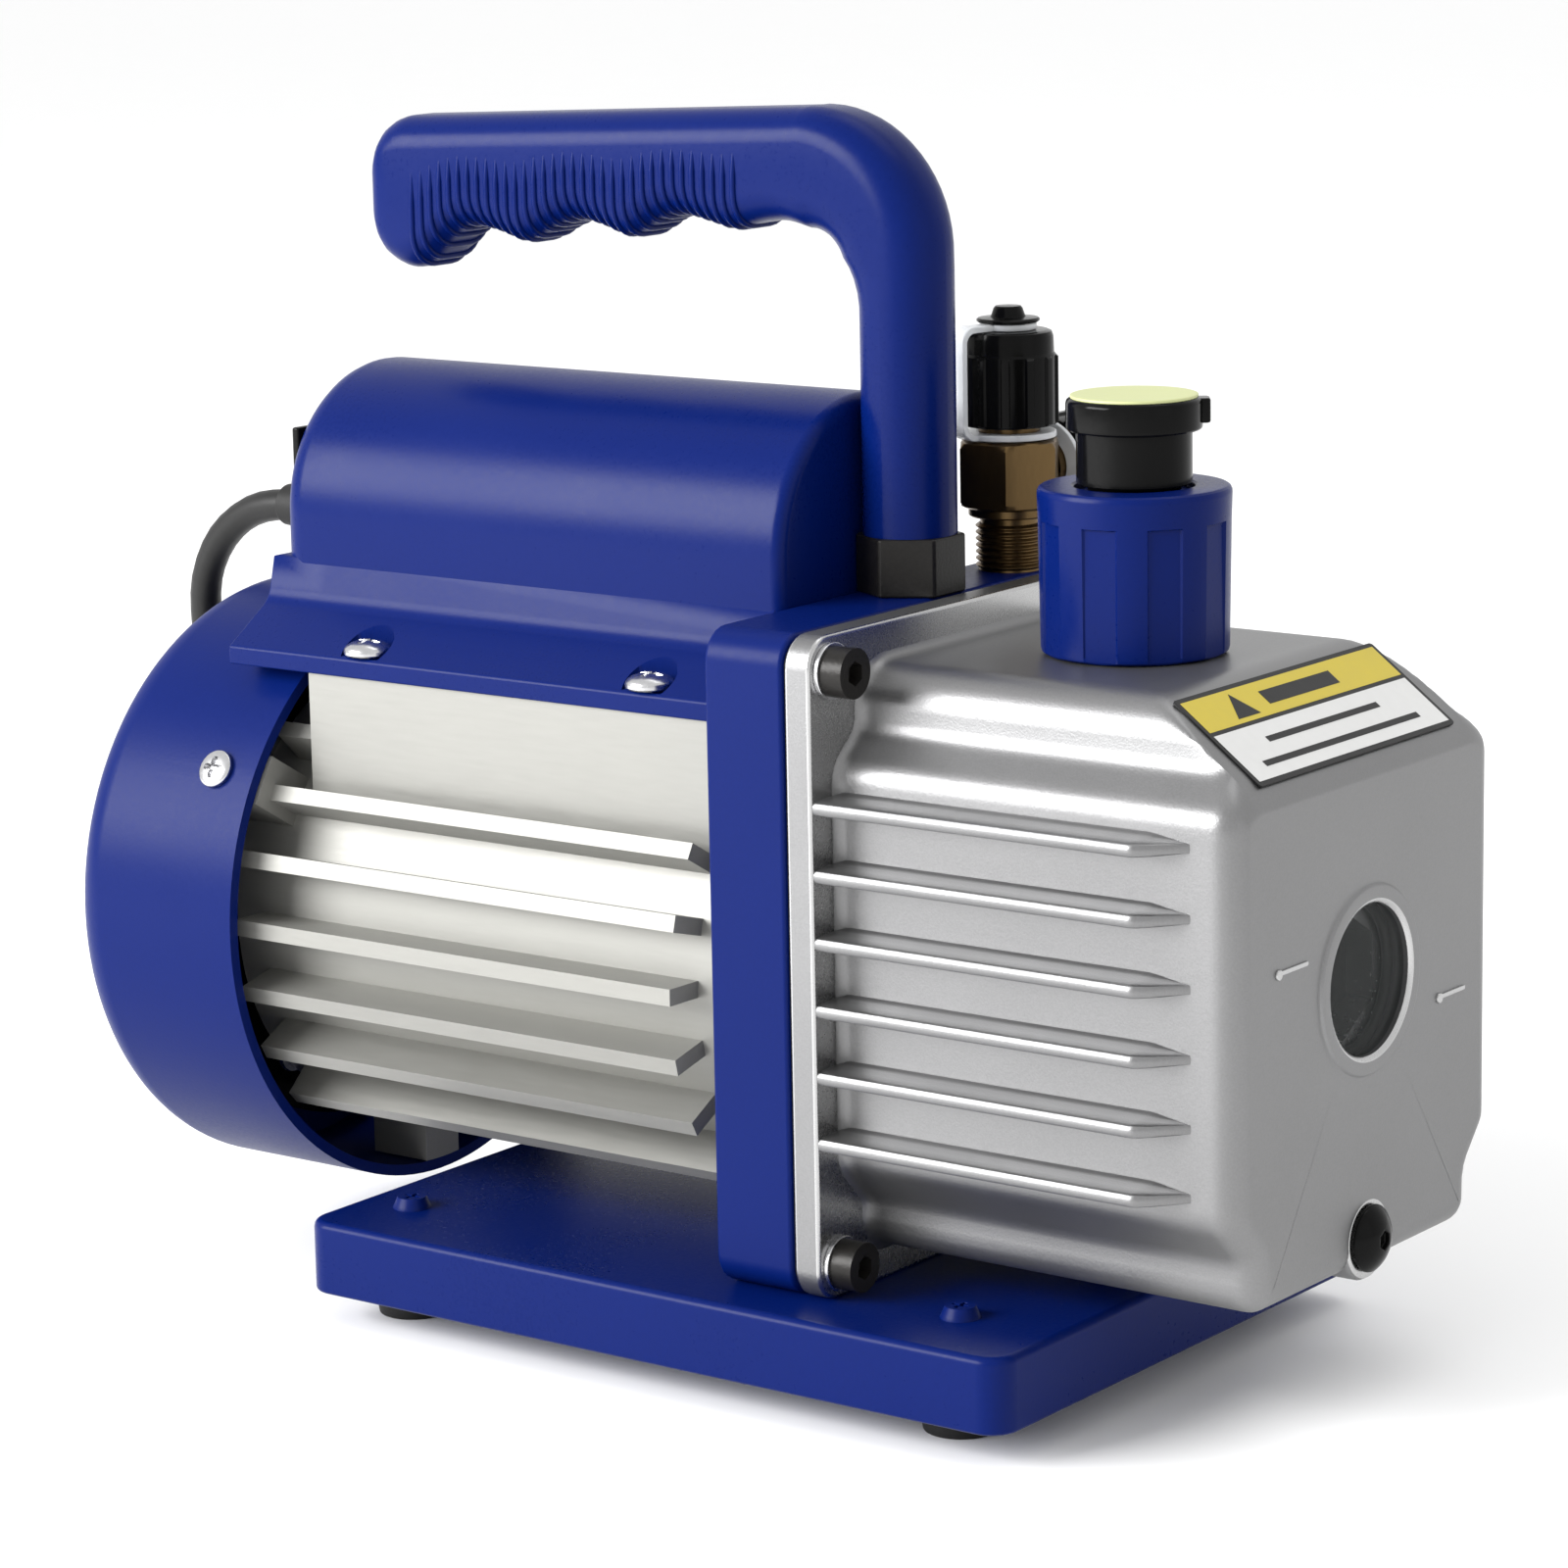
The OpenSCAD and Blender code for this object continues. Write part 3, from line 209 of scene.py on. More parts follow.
def surface(
    name,
    color,
    rough=0.4,
    metallic=0.0,
    grain=700,
    shade=0.06,
    bump=0.08,
    rough_spread=0.06,
    stretch=(1, 1, 1),
    specular=0.5,
):
    """A Principled surface: fine grain in colour, gloss and relief, over a slow mottle.

    grain is per metre.
    """
    material = bpy.data.materials.new(name)
    material.use_nodes = True
    tree = material.node_tree
    shader = tree.nodes["Principled BSDF"]
    shader.inputs["Metallic"].default_value = metallic
    shader.inputs["Specular IOR Level"].default_value = specular

    place = tree.nodes.new("ShaderNodeTexCoord")
    mapping = tree.nodes.new("ShaderNodeMapping")
    mapping.inputs["Scale"].default_value = stretch
    tree.links.new(place.outputs["Object"], mapping.inputs["Vector"])
    fine = tree.nodes.new("ShaderNodeTexNoise")
    fine.inputs["Scale"].default_value = grain
    fine.inputs["Detail"].default_value = 3
    slow = tree.nodes.new("ShaderNodeTexNoise")
    slow.inputs["Scale"].default_value = MOTTLE_SCALE
    slow.inputs["Detail"].default_value = 4
    for noise in (fine, slow):
        tree.links.new(mapping.outputs["Vector"], noise.inputs["Vector"])

    blend = tree.nodes.new("ShaderNodeMath")
    blend.operation = "MULTIPLY_ADD"
    blend.inputs[1].default_value = 0.5
    tree.links.new(fine.outputs["Fac"], blend.inputs[0])
    half = tree.nodes.new("ShaderNodeMath")
    half.operation = "MULTIPLY"
    half.inputs[1].default_value = 0.5
    tree.links.new(slow.outputs["Fac"], half.inputs[0])
    tree.links.new(half.outputs[0], blend.inputs[2])

    ramp = tree.nodes.new("ShaderNodeValToRGB")
    ramp.color_ramp.elements[0].position = 0.3
    ramp.color_ramp.elements[1].position = 0.7
    ramp.color_ramp.elements[0].color = [c * (1 - shade) for c in color] + [1]
    ramp.color_ramp.elements[1].color = [min(1, c * (1 + shade)) for c in color] + [1]
    tree.links.new(blend.outputs[0], ramp.inputs["Fac"])
    tree.links.new(ramp.outputs["Color"], shader.inputs["Base Color"])

    spread = tree.nodes.new("ShaderNodeMapRange")
    spread.inputs["From Min"].default_value = 0.3
    spread.inputs["From Max"].default_value = 0.7
    spread.inputs["To Min"].default_value = max(0.02, rough - rough_spread)
    spread.inputs["To Max"].default_value = rough + rough_spread
    tree.links.new(blend.outputs[0], spread.inputs["Value"])
    tree.links.new(spread.outputs["Result"], shader.inputs["Roughness"])

    if bump:
        relief = tree.nodes.new("ShaderNodeBump")
        relief.inputs["Strength"].default_value = bump
        relief.inputs["Distance"].default_value = BUMP_DEPTH
        tree.links.new(fine.outputs["Fac"], relief.inputs["Height"])
        tree.links.new(relief.outputs["Normal"], shader.inputs["Normal"])
    MATERIALS[name] = material
    return material


BLUE = (0.0007, 0.0080, 0.090)
surface("blue_plastic", BLUE, rough=0.30, grain=1100, bump=0.1, specular=0.09)
surface("blue_paint", BLUE, rough=0.36, grain=1500, bump=0.12, specular=0.09)
surface("silver_paint", (0.215, 0.215, 0.217), rough=0.38, metallic=0.85, grain=2600, shade=0.10, bump=0.22)
# Brighter, glossier metal laid on the casing's rims, edges and raised marks: a painted highlight where those edges
# catch the light
surface("bright_edge", (0.48, 0.48, 0.48), rough=0.27, metallic=1.0, grain=1600, shade=0.03, bump=0.03,
        rough_spread=0.03)
surface("bright_aluminium", (0.255, 0.253, 0.236), rough=0.48, metallic=0.45, grain=900,
        stretch=(0.12, 1, 1), bump=0.12)
surface("black_plastic", (0.003, 0.003, 0.003), rough=0.16, grain=900, bump=0.04, specular=0.09)
surface("black_steel", (0.013, 0.012, 0.011), rough=0.34, metallic=0.3, specular=0.25, grain=1500,
        shade=0.3, bump=0.25)
surface("steel", (0.55, 0.55, 0.56), rough=0.24, metallic=1.0, grain=1200, bump=0.12)
surface("rubber", (0.006, 0.006, 0.006), rough=0.55, grain=1500, bump=0.2, specular=0.3)
surface("cord_rubber", (0.005, 0.005, 0.005), rough=0.45, grain=900, bump=0.1, specular=0.3)
surface("brass", (0.14, 0.088, 0.036), rough=0.34, metallic=0.9, grain=800, shade=0.14,
        stretch=(1, 1, 0.3), bump=0.15)
surface("disc_yellow", (0.47, 0.50, 0.24), rough=0.5, grain=500, shade=0.03, bump=0.05)
surface("label_white", (0.66, 0.66, 0.65), rough=0.35, grain=400, shade=0.03, bump=0.02)
surface("label_yellow", (0.55, 0.43, 0.02), rough=0.35, grain=400, shade=0.04, bump=0.02)
surface("label_black", (0.006, 0.006, 0.006), rough=0.35, grain=400, bump=0.02, specular=0.25)
surface("copper", (0.45, 0.17, 0.07), rough=0.35, metallic=0.8, grain=500, stretch=(1, 6, 6),
        shade=0.25, bump=0.3)
surface("laminations", (0.30, 0.31, 0.33), rough=0.4, metallic=0.9, grain=260, stretch=(8, 0.2, 0.2),
        shade=0.3, bump=0.4)
surface("cast_iron", (0.42, 0.42, 0.43), rough=0.34, metallic=0.85, grain=900, shade=0.15, bump=0.3)
surface("white_plastic", (0.78, 0.78, 0.75), rough=0.35, grain=700, shade=0.03)
surface("red_plastic", (0.55, 0.02, 0.015), rough=0.22, grain=700, bump=0.04)
surface("vane_composite", (0.10, 0.055, 0.03), rough=0.5, grain=500, stretch=(0.2, 1, 1), shade=0.25)


def see_through(name, color, rough, clear, grain):
    """A thin clear or milky skin: Principled over Transparent, so that light passes."""
    material = surface(name, color, rough=rough, grain=grain, shade=0.04, bump=0.03)
    tree = material.node_tree
    shader = tree.nodes["Principled BSDF"]
    output = tree.nodes["Material Output"]
    clear_shader = tree.nodes.new("ShaderNodeBsdfTransparent")
    clear_shader.inputs["Color"].default_value = (1, 1, 1, 1)
    facing = tree.nodes.new("ShaderNodeLayerWeight")
    facing.inputs["Blend"].default_value = 0.35
    amount = tree.nodes.new("ShaderNodeMapRange")
    amount.inputs["To Min"].default_value = 1 - clear
    amount.inputs["To Max"].default_value = 1 - clear * 0.7
    tree.links.new(facing.outputs["Facing"], amount.inputs["Value"])
    mix = tree.nodes.new("ShaderNodeMixShader")
    tree.links.new(amount.outputs["Result"], mix.inputs["Fac"])
    tree.links.new(clear_shader.outputs["BSDF"], mix.inputs[1])
    tree.links.new(shader.outputs["BSDF"], mix.inputs[2])
    tree.links.new(mix.outputs["Shader"], output.inputs["Surface"])


see_through("glass", (0.02, 0.025, 0.025), 0.05, 0.92, 300)
see_through("translucent_strap", (0.74, 0.76, 0.78), 0.3, 0.35, 300)

slot_of = {s["node"]: s["material_slot"] for s in frame["record"]["subparts"]}
slot_of["label"] = "label"
SLOT_MATERIAL = {"label": "label_white"}
for node, obj in frame["nodes"].items():
    chosen = MATERIALS[SLOT_MATERIAL.get(slot_of[node], slot_of[node])]
    obj.data.materials.clear()
    obj.data.materials.append(chosen)


# ---- outlines and meshes


def rounded(corners, steps=7):
    """A closed outline from (u, v, radius) corners; a corner may be convex or hollow."""
    out = []
    n = len(corners)
    for i, (u, v, r) in enumerate(corners):
        p = Vector((u, v))
        before = (Vector(corners[i - 1][:2]) - p).normalized()
        after = (Vector(corners[(i + 1) % n][:2]) - p).normalized()
        if r <= 0:
            out.append((u, v))
            continue
        half = before.angle(after) / 2
        reach = r / tan(half)
        centre = p + (before + after).normalized() * (r / sin(half))
        first, last = p + before * reach - centre, p + after * reach - centre
        turn = atan2(first.x * last.y - first.y * last.x, first.dot(last))
        for k in range(steps + 1):
            a = turn * k / steps
            out.append((centre.x + first.x * cos(a) - first.y * sin(a),
                        centre.y + first.x * sin(a) + first.y * cos(a)))
    return out


def normals_2d(points):
    """Outward miter normals of a counter-clockwise closed outline."""
    p = np.array(points)
    edge = np.roll(p, -1, 0) - p
    length = np.maximum(np.hypot(edge[:, 0], edge[:, 1]), 1e-9)
    side = np.stack([edge[:, 1], -edge[:, 0]], 1) / length[:, None]
    both = side + np.roll(side, 1, 0)
    scale = np.maximum((both * both).sum(1) / 2, 0.5)
    return both / scale[:, None]


def area_2d(points):
    p = np.array(points)
    q = np.roll(p, -1, 0)
    return (p[:, 0] * q[:, 1] - p[:, 1] * q[:, 0]).sum() / 2


def ccw(points):
    return list(points) if area_2d(points) > 0 else list(reversed(points))


class Build:
    """Collects rings and faces of one visible piece, in metres, with a material index for each face."""

    def __init__(self, name, body, *materials):
        self.name, self.body = name, body
        self.materials = materials
        self.verts, self.faces, self.kinds = [], [], []

    def ring(self, points):
        first = len(self.verts)
        self.verts += [tuple(p) for p in points]
        return list(range(first, len(self.verts)))

    def face(self, indices, kind=0):
        self.faces.append(list(indices))
        self.kinds.append(kind)

    def loft(self, rings, cap_first=True, cap_last=True, kinds=None):
        """Skins rings of equal length, first to last; kinds gives each band's material."""
        ids = [self.ring(r) for r in rings]
        n = len(ids[0])
        for b in range(len(ids) - 1):
            kind = kinds[b] if kinds else 0
            for k in range(n):
                j = (k + 1) % n
                self.face((ids[b][k], ids[b][j], ids[b + 1][j], ids[b + 1][k]), kind)
        if cap_first:
            self.face(reversed(ids[0]), kinds[0] if kinds else 0)
        if cap_last:
            self.face(ids[-1], kinds[-1] if kinds else 0)
        return ids

    def pillow(self, outline, at, low, high, radius, steps=4, kinds=(0, 0), radius_low=None):
        """A plate of that outline between low and high, its rims rounded.

        at(u, v, w) gives the point in space.
        """
        outline = ccw(outline)
        p, n = np.array(outline), normals_2d(outline)
        radius_low = radius if radius_low is None else radius_low
        levels = []
        for k in range(steps + 1):
            a = pi / 2 * k / steps
            levels.append((low + radius_low * (1 - sin(a)), radius_low * (1 - cos(a))))
        levels.reverse()
        for k in range(steps + 1):
            a = pi / 2 * k / steps
            levels.append((high - radius * (1 - sin(a)), radius * (1 - cos(a))))
        rings = []
        for w, inset in levels:
            q = p - n * inset
            rings.append([at(u, v, w) for u, v in q])
        bands = [kinds[1]] * steps + [kinds[0]] + [kinds[1]] * steps
        return self.loft(rings, kinds=bands)

    def lathe(self, profile, at, steps=64, kinds=None, cap_first=False, cap_last=False, wobble=None):
        """Turns (radius, height) points about an axis; at(u, v, w) gives the point in space.

        wobble(angle, radius, height) may change the radius.
        """
        rings = []
        for r, h in profile:
            ring = []
            for k in range(steps):
                a = 2 * pi * k / steps
                q = wobble(a, r, h) if wobble else r
                ring.append(at(q * cos(a), q * sin(a), h))
            rings.append(ring)
        return self.loft(rings, cap_first, cap_last, kinds)

    def tube(self, path, radius, sides=10, kind=0, caps=True):
        """A round tube along points, with a ring that turns as little as it can."""
        pts = [Vector(p) for p in path]
        n = len(pts)
        tangents = [(pts[min(i + 1, n - 1)] - pts[max(i - 1, 0)]).normalized() for i in range(n)]
        side = tangents[0].orthogonal().normalized()
        rings = []
        for p, t in zip(pts, tangents):
            side = (side - t * side.dot(t)).normalized()
            up = t.cross(side)
            turns = [2 * pi * k / sides for k in range(sides)]
            rings.append([p + radius * (cos(a) * side + sin(a) * up) for a in turns])
        self.loft(rings, caps, caps, [kind] * (n - 1))

    def done(self, *nodes, slot=None, sharp=35, weighted=True):
        """Makes the object, which rides on its body and stands for the nodes."""
        mesh = bpy.data.meshes.new(self.name)
        mesh.from_pydata(self.verts, [], self.faces)
        for m in self.materials:
            mesh.materials.append(MATERIALS[m])
        mesh.polygons.foreach_set("material_index", self.kinds)
        tidy = bmesh.new()
        tidy.from_mesh(mesh)
        bmesh.ops.remove_doubles(tidy, verts=tidy.verts, dist=1e-6)
        bmesh.ops.recalc_face_normals(tidy, faces=tidy.faces)
        tidy.to_mesh(mesh)
        tidy.free()
        return finish_piece(self.name, mesh, self.body, nodes, slot, sharp, weighted)


def finish_piece(name, mesh, body, nodes, slot, sharp=35, weighted=True):
    mesh.shade_smooth()
    mesh.set_sharp_from_angle(angle=radians(sharp))
    obj = bpy.data.objects.new(name, mesh)
    bpy.context.scene.collection.objects.link(obj)
    if weighted:
        weigh = obj.modifiers.new("weigh", "WEIGHTED_NORMAL")
        weigh.keep_sharp = True
    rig.ride(obj, body)
    if nodes:
        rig.replaces(obj, *nodes)
    if slot or nodes:
        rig.slot(obj, slot or slot_of[nodes[0]])
    return obj


def body_of_node(node):
    return frame["nodes"][node]["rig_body"]


HARD_EDGE = 28


def refined(node, width, steps=2):
    """The CAD node's own shape with its hard edges rounded, in place of the node."""
    source = frame["nodes"][node]
    work = bmesh.new()
    work.from_mesh(source.data)
    bmesh.ops.remove_doubles(work, verts=work.verts, dist=2e-6)
    bmesh.ops.dissolve_limit(work, angle_limit=radians(1.0), verts=work.verts, edges=work.edges,
                             delimit=set())
    hard = [e for e in work.edges if len(e.link_faces) == 2 and e.calc_face_angle(0) > radians(HARD_EDGE)]
    if hard:
        bmesh.ops.bevel(work, geom=hard, offset=width * MM, offset_type="OFFSET", segments=steps,
                        profile=0.5, affect="EDGES", clamp_overlap=True)
    mesh = bpy.data.meshes.new(node + "_shape")
    work.to_mesh(mesh)
    work.free()
    mesh.materials.append(source.data.materials[0])
    return finish_piece(node + "_shape", mesh, source["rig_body"], [node], None)


def along_x(u, v, w):
    return (w, u, v)


def along_z(u, v, w):
    return (u, v, w)


def box_mm(node):
    low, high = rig.box(node)
    return [c / MM for c in low], [c / MM for c in high]


# ---- power cord and its coil

CORD_D = 6.5 * MM
ROUTE = [mm(*p) for p in (
    (-102, 5, 147), (-114, 5, 147), (-128, 5, 147), (-138.9, 5.6, 144.8), (-148.2, 6.4, 138.6),
    (-154.3, 7.6, 129.4), (-156.6, 9.5, 118.5), (-157.6, 12.8, 105.5), (-158.5, 17, 92), (-159.5, 22, 78),
    (-160.4, 27.5, 63), (-160.8, 33, 48), (-160, 39, 34.5), (-157.5, 46, 22), (-152.5, 53, 12.5),
    (-144.8, 59.5, 6.6), (-135, 65, 4), (-122, 70, 3.35), (-107, 73.8, 3.25), (-91, 76, 3.25),
    (-75, 76.5, 3.25), (-57, 76.5, 3.25))]
COIL_CENTRE = mm(-40, 123)
COIL_OUTER = 46.5 * MM
COIL_STEP = CORD_D
COIL_TURNS = 3
PLUG_X = -14 * MM


def smooth_curve(points, steps):
    """Catmull-Rom points through a list."""
    p = [Vector(q) for q in points]
    out = []
    for i in range(len(p) - 1):
        a, b, c, d = p[max(i - 1, 0)], p[i], p[i + 1], p[min(i + 2, len(p) - 1)]
        for k in range(steps):
            t = k / steps
            out.append(0.5 * (2 * b + (c - a) * t + (2 * a - 5 * b + 4 * c - d) * t * t
                              + (3 * b - a - 3 * c + d) * t ** 3))
    out.append(p[-1])
    return out


def cord_points():
    """The free run, then a spiral in on the floor and out again on top of it, and on to the plug."""
    points = smooth_curve(ROUTE, 3)
    per_turn = 36
    low, high = CORD_D / 2, CORD_D * 1.5
    start = -pi / 2
    inner = COIL_OUTER - COIL_TURNS * COIL_STEP

    def spot(angle, r, z):
        return Vector((COIL_CENTRE[0] + r * cos(angle), COIL_CENTRE[1] + r * sin(angle), z))

    n = COIL_TURNS * per_turn
    for k in range(n + 1):
        share = k / n
        radius = COIL_OUTER - (COIL_OUTER - inner) * share
        points.append(spot(start + 2 * pi * COIL_TURNS * share, radius, low))
    for k in range(1, per_turn + 1):
        share = k / per_turn
        ease = share * share * (3 - 2 * share)
        points.append(spot(start + 2 * pi * share, inner, low + (high - low) * ease))
    for k in range(1, n + 1):
        share = k / n
        points.append(spot(start + 2 * pi * COIL_TURNS * share, inner + (COIL_OUTER - inner) * share, high))
    end = points[-1]
    for k in range(1, 7):
        points.append(Vector((end.x + (PLUG_X + 4 * MM - end.x) * k / 6, end.y, end.z)))
    return points


def path_length(points):
    return sum((b - a).length for a, b in zip(points, points[1:]))


cord_path = cord_points()
cord = Build("power_cord_lead", "root", "cord_rubber")
cord.tube(cord_path, CORD_D / 2, sides=14)
cord_obj = cord.done("power_cord", "cord_coil", slot="rubber", weighted=False)


# ---- plug and strain relief


def make_plug():
    low, high = box_mm("mains_plug")
    y, z = (low[1] + high[1]) / 2 * MM, (low[2] + high[2]) / 2 * MM

    def at(u, v, w):
        return (w, y + u, z + v)

    piece = Build("mains_plug_body", "root", "rubber")
    x0 = low[0]
    profile = [(3.35, x0 + 1.5), (3.35, x0), (4.2, x0)]
    for i in range(7):
        x = x0 + 0.6 + i * 2.9
        r = 4.3 + 0.22 * i
        profile += [(r, x), (r, x + 1.7), (r - 0.8, x + 2.0), (r - 0.8, x + 2.6)]
    end = high[0]
    profile += [(6.0, x0 + 21.5), (6.6, x0 + 23), (8.6, x0 + 26.2), (9.2, x0 + 28), (8.7, x0 + 34),
                (8.7, x0 + 40), (9.3, x0 + 44), (9.5, x0 + 46), (9.5, end - 1), (9.2, end - 0.3),
                (8.6, end), (0.01, end)]
    piece.lathe([(r * MM, x * MM) for r, x in profile], at, steps=48)
    return piece.done("mains_plug", slot="rubber")


plug_obj = make_plug()
pins_obj = refined("plug_pins", 0.35)

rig.cord(cord_obj, exit=ROUTE[0], length=round(path_length(cord_path), 3), diameter=CORD_D, far_end="plug",
        stiffness="medium", lay="coiled", path=[tuple(p) for p in cord_path],
        with_pieces=[plug_obj, pins_obj])


# ---- studio


def add_area(name, place, target, size, power, color=(1, 1, 1)):
    data = bpy.data.lights.new(name, "AREA")
    data.shape = "RECTANGLE"
    data.size, data.size_y = size
    data.energy = power
    data.color = color
    lamp = bpy.data.objects.new(name, data)
    bpy.context.scene.collection.objects.link(lamp)
    lamp.location = place
    lamp.rotation_euler = (Vector(target) - Vector(place)).to_track_quat("-Z", "Y").to_euler()


def add_studio():
    floor = bpy.data.meshes.new("floor")
    reach = 6.0
    rings = []
    for x in (-reach, reach):
        rings += [(x, -reach, 0), (x, reach, 0)]
    floor.from_pydata(rings, [], [(0, 2, 3, 1)])
    floor.materials.append(surface("floor", (0.97, 0.97, 0.97), rough=0.6, grain=30, shade=0.005, bump=0))
    obj = bpy.data.objects.new("floor", floor)
    bpy.context.scene.collection.objects.link(obj)
    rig.stage(obj)
    world = bpy.data.worlds.new("studio")
    world.use_nodes = True
    sky = world.node_tree.nodes["Background"]
    sky.inputs["Color"].default_value = (1, 1, 1, 1)
    sky.inputs["Strength"].default_value = 1.0
    bpy.context.scene.world = world
    bpy.context.scene.view_settings.view_transform = "Standard"
    target = (0, 0, 0.1)
    add_area("key", (-0.85, -1.30, 0.75), target, (1.2, 0.8), 50)
    add_area("fill", (1.45, -0.15, 0.45), target, (0.8, 0.8), 0.4)
    add_area("top", (0.1, 0.45, 1.6), target, (1.2, 0.6), 3)


add_studio()


# ---- base plate


def make_base():
    low, high = box_mm("base_plate")
    corner = 5.5
    outline = rounded([(low[0], low[1], corner), (high[0], low[1], corner), (high[0], high[1], corner),
                       (low[0], high[1], corner)], steps=8)
    piece = Build("base_moulding", "root", "blue_plastic")
    piece.pillow([mm(*p) for p in outline], along_z, low[2] * MM, high[2] * MM, 1.6 * MM, steps=4,
                 radius_low=0.8 * MM)
    return piece.done("base_plate")


make_base()


# ---- bracket and casing

FLANGE_HW = 52.6
FLANGE_CORNER = 6
BOLT_Y = 46.3
BOLT_Z = (27.3, 136.5)


def plate_outline(hw, low, high, corner, steps=7):
    corners = [(-hw, low, corner), (hw, low, corner), (hw, high, corner), (-hw, high, corner)]
    return [mm(*p) for p in rounded(corners, steps)]


def make_bracket():
    low, high = box_mm("pump_bracket")
    piece = Build("bracket_casting", "root", "blue_paint")
    outline = plate_outline(FLANGE_HW, low[2], high[2], FLANGE_CORNER)
    piece.pillow(outline, along_x, low[0] * MM, high[0] * MM, 0.9 * MM, steps=3)
    return piece.done("pump_bracket")


CASING_CORNERS = [(37.6, 136, 8), (37.6, 124.6, 5), (44.85, 118.3, 6), (44.85, 45.7, 6), (37.6, 37.6, 5),
                  (37.6, 28, 5)]
GLASS_Z = 81.4
DRAIN_Z = 34
CASING_FRONT = 129.05
FLANGE_FRONT = 45.75
SLOPE_X, SLOPE_DEG = 107.75, 36.7
FRONT_ROUND = 5.0
BOSS_R, HOLE_R = 17.2, 13.8


def casing_section(samples=280):
    """The casing's outline about the sight glass's axis, as points at even angles, in mm."""
    right = [(y, z, r) for y, z, r in CASING_CORNERS]
    left = [(-y, z, r) for y, z, r in reversed(CASING_CORNERS)]
    dense = ccw(rounded(right + left, steps=14))
    out = []
    count = len(dense)
    for k in range(samples):
        a = 2 * pi * k / samples
        d = (cos(a), sin(a))
        best = None
        for i in range(count):
            p, q = dense[i], dense[(i + 1) % count]
            ex, ey = q[0] - p[0], q[1] - p[1]
            px, py = p[0], p[1] - GLASS_Z
            det = d[0] * ey - d[1] * ex
            if abs(det) < 1e-12:
                continue
            t = (px * ey - py * ex) / det
            s = (px * d[1] - py * d[0]) / det
            if t > 0 and -1e-9 <= s <= 1 + 1e-9:
                best = t if best is None else max(best, t)
        out.append((best * d[0], GLASS_Z + best * d[1]))
    return np.array(out)


def soft_min(a, b, k):
    h = np.clip(0.5 + 0.5 * (b - a) / k, 0, 1)
    return b * (1 - h) + a * h - k * h * (1 - h)


def casing_ring(base, normals, x, inset, drop=0.0):
    """A section of the casing at x, shrunk by inset, under the sloped face and clear of the bolts."""
    q = base - normals * inset
    slope = 136 - (x - SLOPE_X) * tan(radians(SLOPE_DEG)) - drop
    q[:, 1] = soft_min(q[:, 1], slope, 2.4)
    reach = 9.0 * sqrt(max(0.0, 1 - ((x - FLANGE_FRONT) / 12.0) ** 2)) if x < FLANGE_FRONT + 12 else 0
    if reach > 0:
        for by in (-BOLT_Y, BOLT_Y):
            for bz in BOLT_Z:
                away = q - np.array([by, bz])
                far = np.hypot(away[:, 0], away[:, 1])
                near = far < reach
                q[near] = np.array([by, bz]) + away[near] / far[near][:, None] * reach
    return [mm(x, y, z) for y, z in q]


def make_casing():
    base = casing_section()
    normals = normals_2d(base)
    # Material index 1 is the painted highlight metal, laid on rims and edges
    piece = Build("oil_casing_casting", "root", "silver_paint", "bright_edge")
    stations = []
    fillet = 2.6
    for k in range(5):
        a = pi / 2 * k / 4
        stations.append((FLANGE_FRONT - 0.3 + fillet * (1 - cos(a)), -fillet * (1 - sin(a)), 0))
    x = FLANGE_FRONT + fillet + 0.8
    while x < CASING_FRONT - FRONT_ROUND - 0.6:
        stations.append((x, 0, 0))
        x += 1.2 if x < FLANGE_FRONT + 14 or x > SLOPE_X - 5 else 4.0
    for k in range(8):
        a = pi / 2 * k / 7
        stations.append((CASING_FRONT - FRONT_ROUND * (1 - sin(a)), FRONT_ROUND * (1 - cos(a)),
                         FRONT_ROUND * 0.5 * (1 - cos(a))))
    rings = [casing_ring(base, normals, *s) for s in stations]
    kinds = [0] * (len(rings) - 1)

    polar = base - np.array([0, GLASS_Z])
    polar /= np.hypot(polar[:, 0], polar[:, 1])[:, None]

    def circle(x, r):
        return [mm(x, r * c, GLASS_Z + r * s) for c, s in polar]

    # The rings of kind 1 at the hole's rim take the painted highlight metal
    boss = [(CASING_FRONT, BOSS_R + 0.7, 0), (CASING_FRONT + 0.12, BOSS_R + 0.2, 0),
            (CASING_FRONT + 0.5, BOSS_R - 0.1, 0), (CASING_FRONT + 0.6, BOSS_R - 0.4, 0),
            (CASING_FRONT + 0.6, HOLE_R + 0.9, 0), (CASING_FRONT + 0.3, HOLE_R + 0.3, 1),
            (CASING_FRONT - 0.1, HOLE_R, 1), (CASING_FRONT - 1.0, HOLE_R, 0),
            (CASING_FRONT - 1.0, HOLE_R + 1.2, 0), (CASING_FRONT - 11, HOLE_R + 1.25, 0)]
    for x, r, kind in boss:
        rings.append(circle(x, r))
        kinds.append(kind)
    piece.loft(rings, cap_first=False, cap_last=False, kinds=kinds)

    # Flange behind it, its rounded rims in the painted highlight metal
    low, high = box_mm("oil_casing")
    outline = plate_outline(FLANGE_HW, low[2], high[2], FLANGE_CORNER)
    piece.pillow(outline, along_x, low[0] * MM, FLANGE_FRONT * MM, 0.7 * MM, steps=3, kinds=(0, 1))
    make_ribs(piece)
    # Ring about the drain plug, its face and rim in the painted highlight metal
    face = ((7.9, -6), (7.9, -1.2), (7.4, -0.2), (6.9, 0.05), (6.6, 0.05), (3.6, 0.05), (3.6, -4))
    face = [(r * MM, (CASING_FRONT + x) * MM) for r, x in face]
    piece.lathe(face, lambda u, v, w: (w, u, DRAIN_Z * MM + v), steps=48, kinds=[0, 0, 1, 1, 1, 0])
    make_level_ticks(piece)
    return piece.done("oil_casing")


RIB_TOP, RIB_PITCH, RIB_COUNT = 112.4, 12.35, 6
RIB_TIP_Y, RIB_END, RIB_TAPER = 52.2, 120.5, 8.0


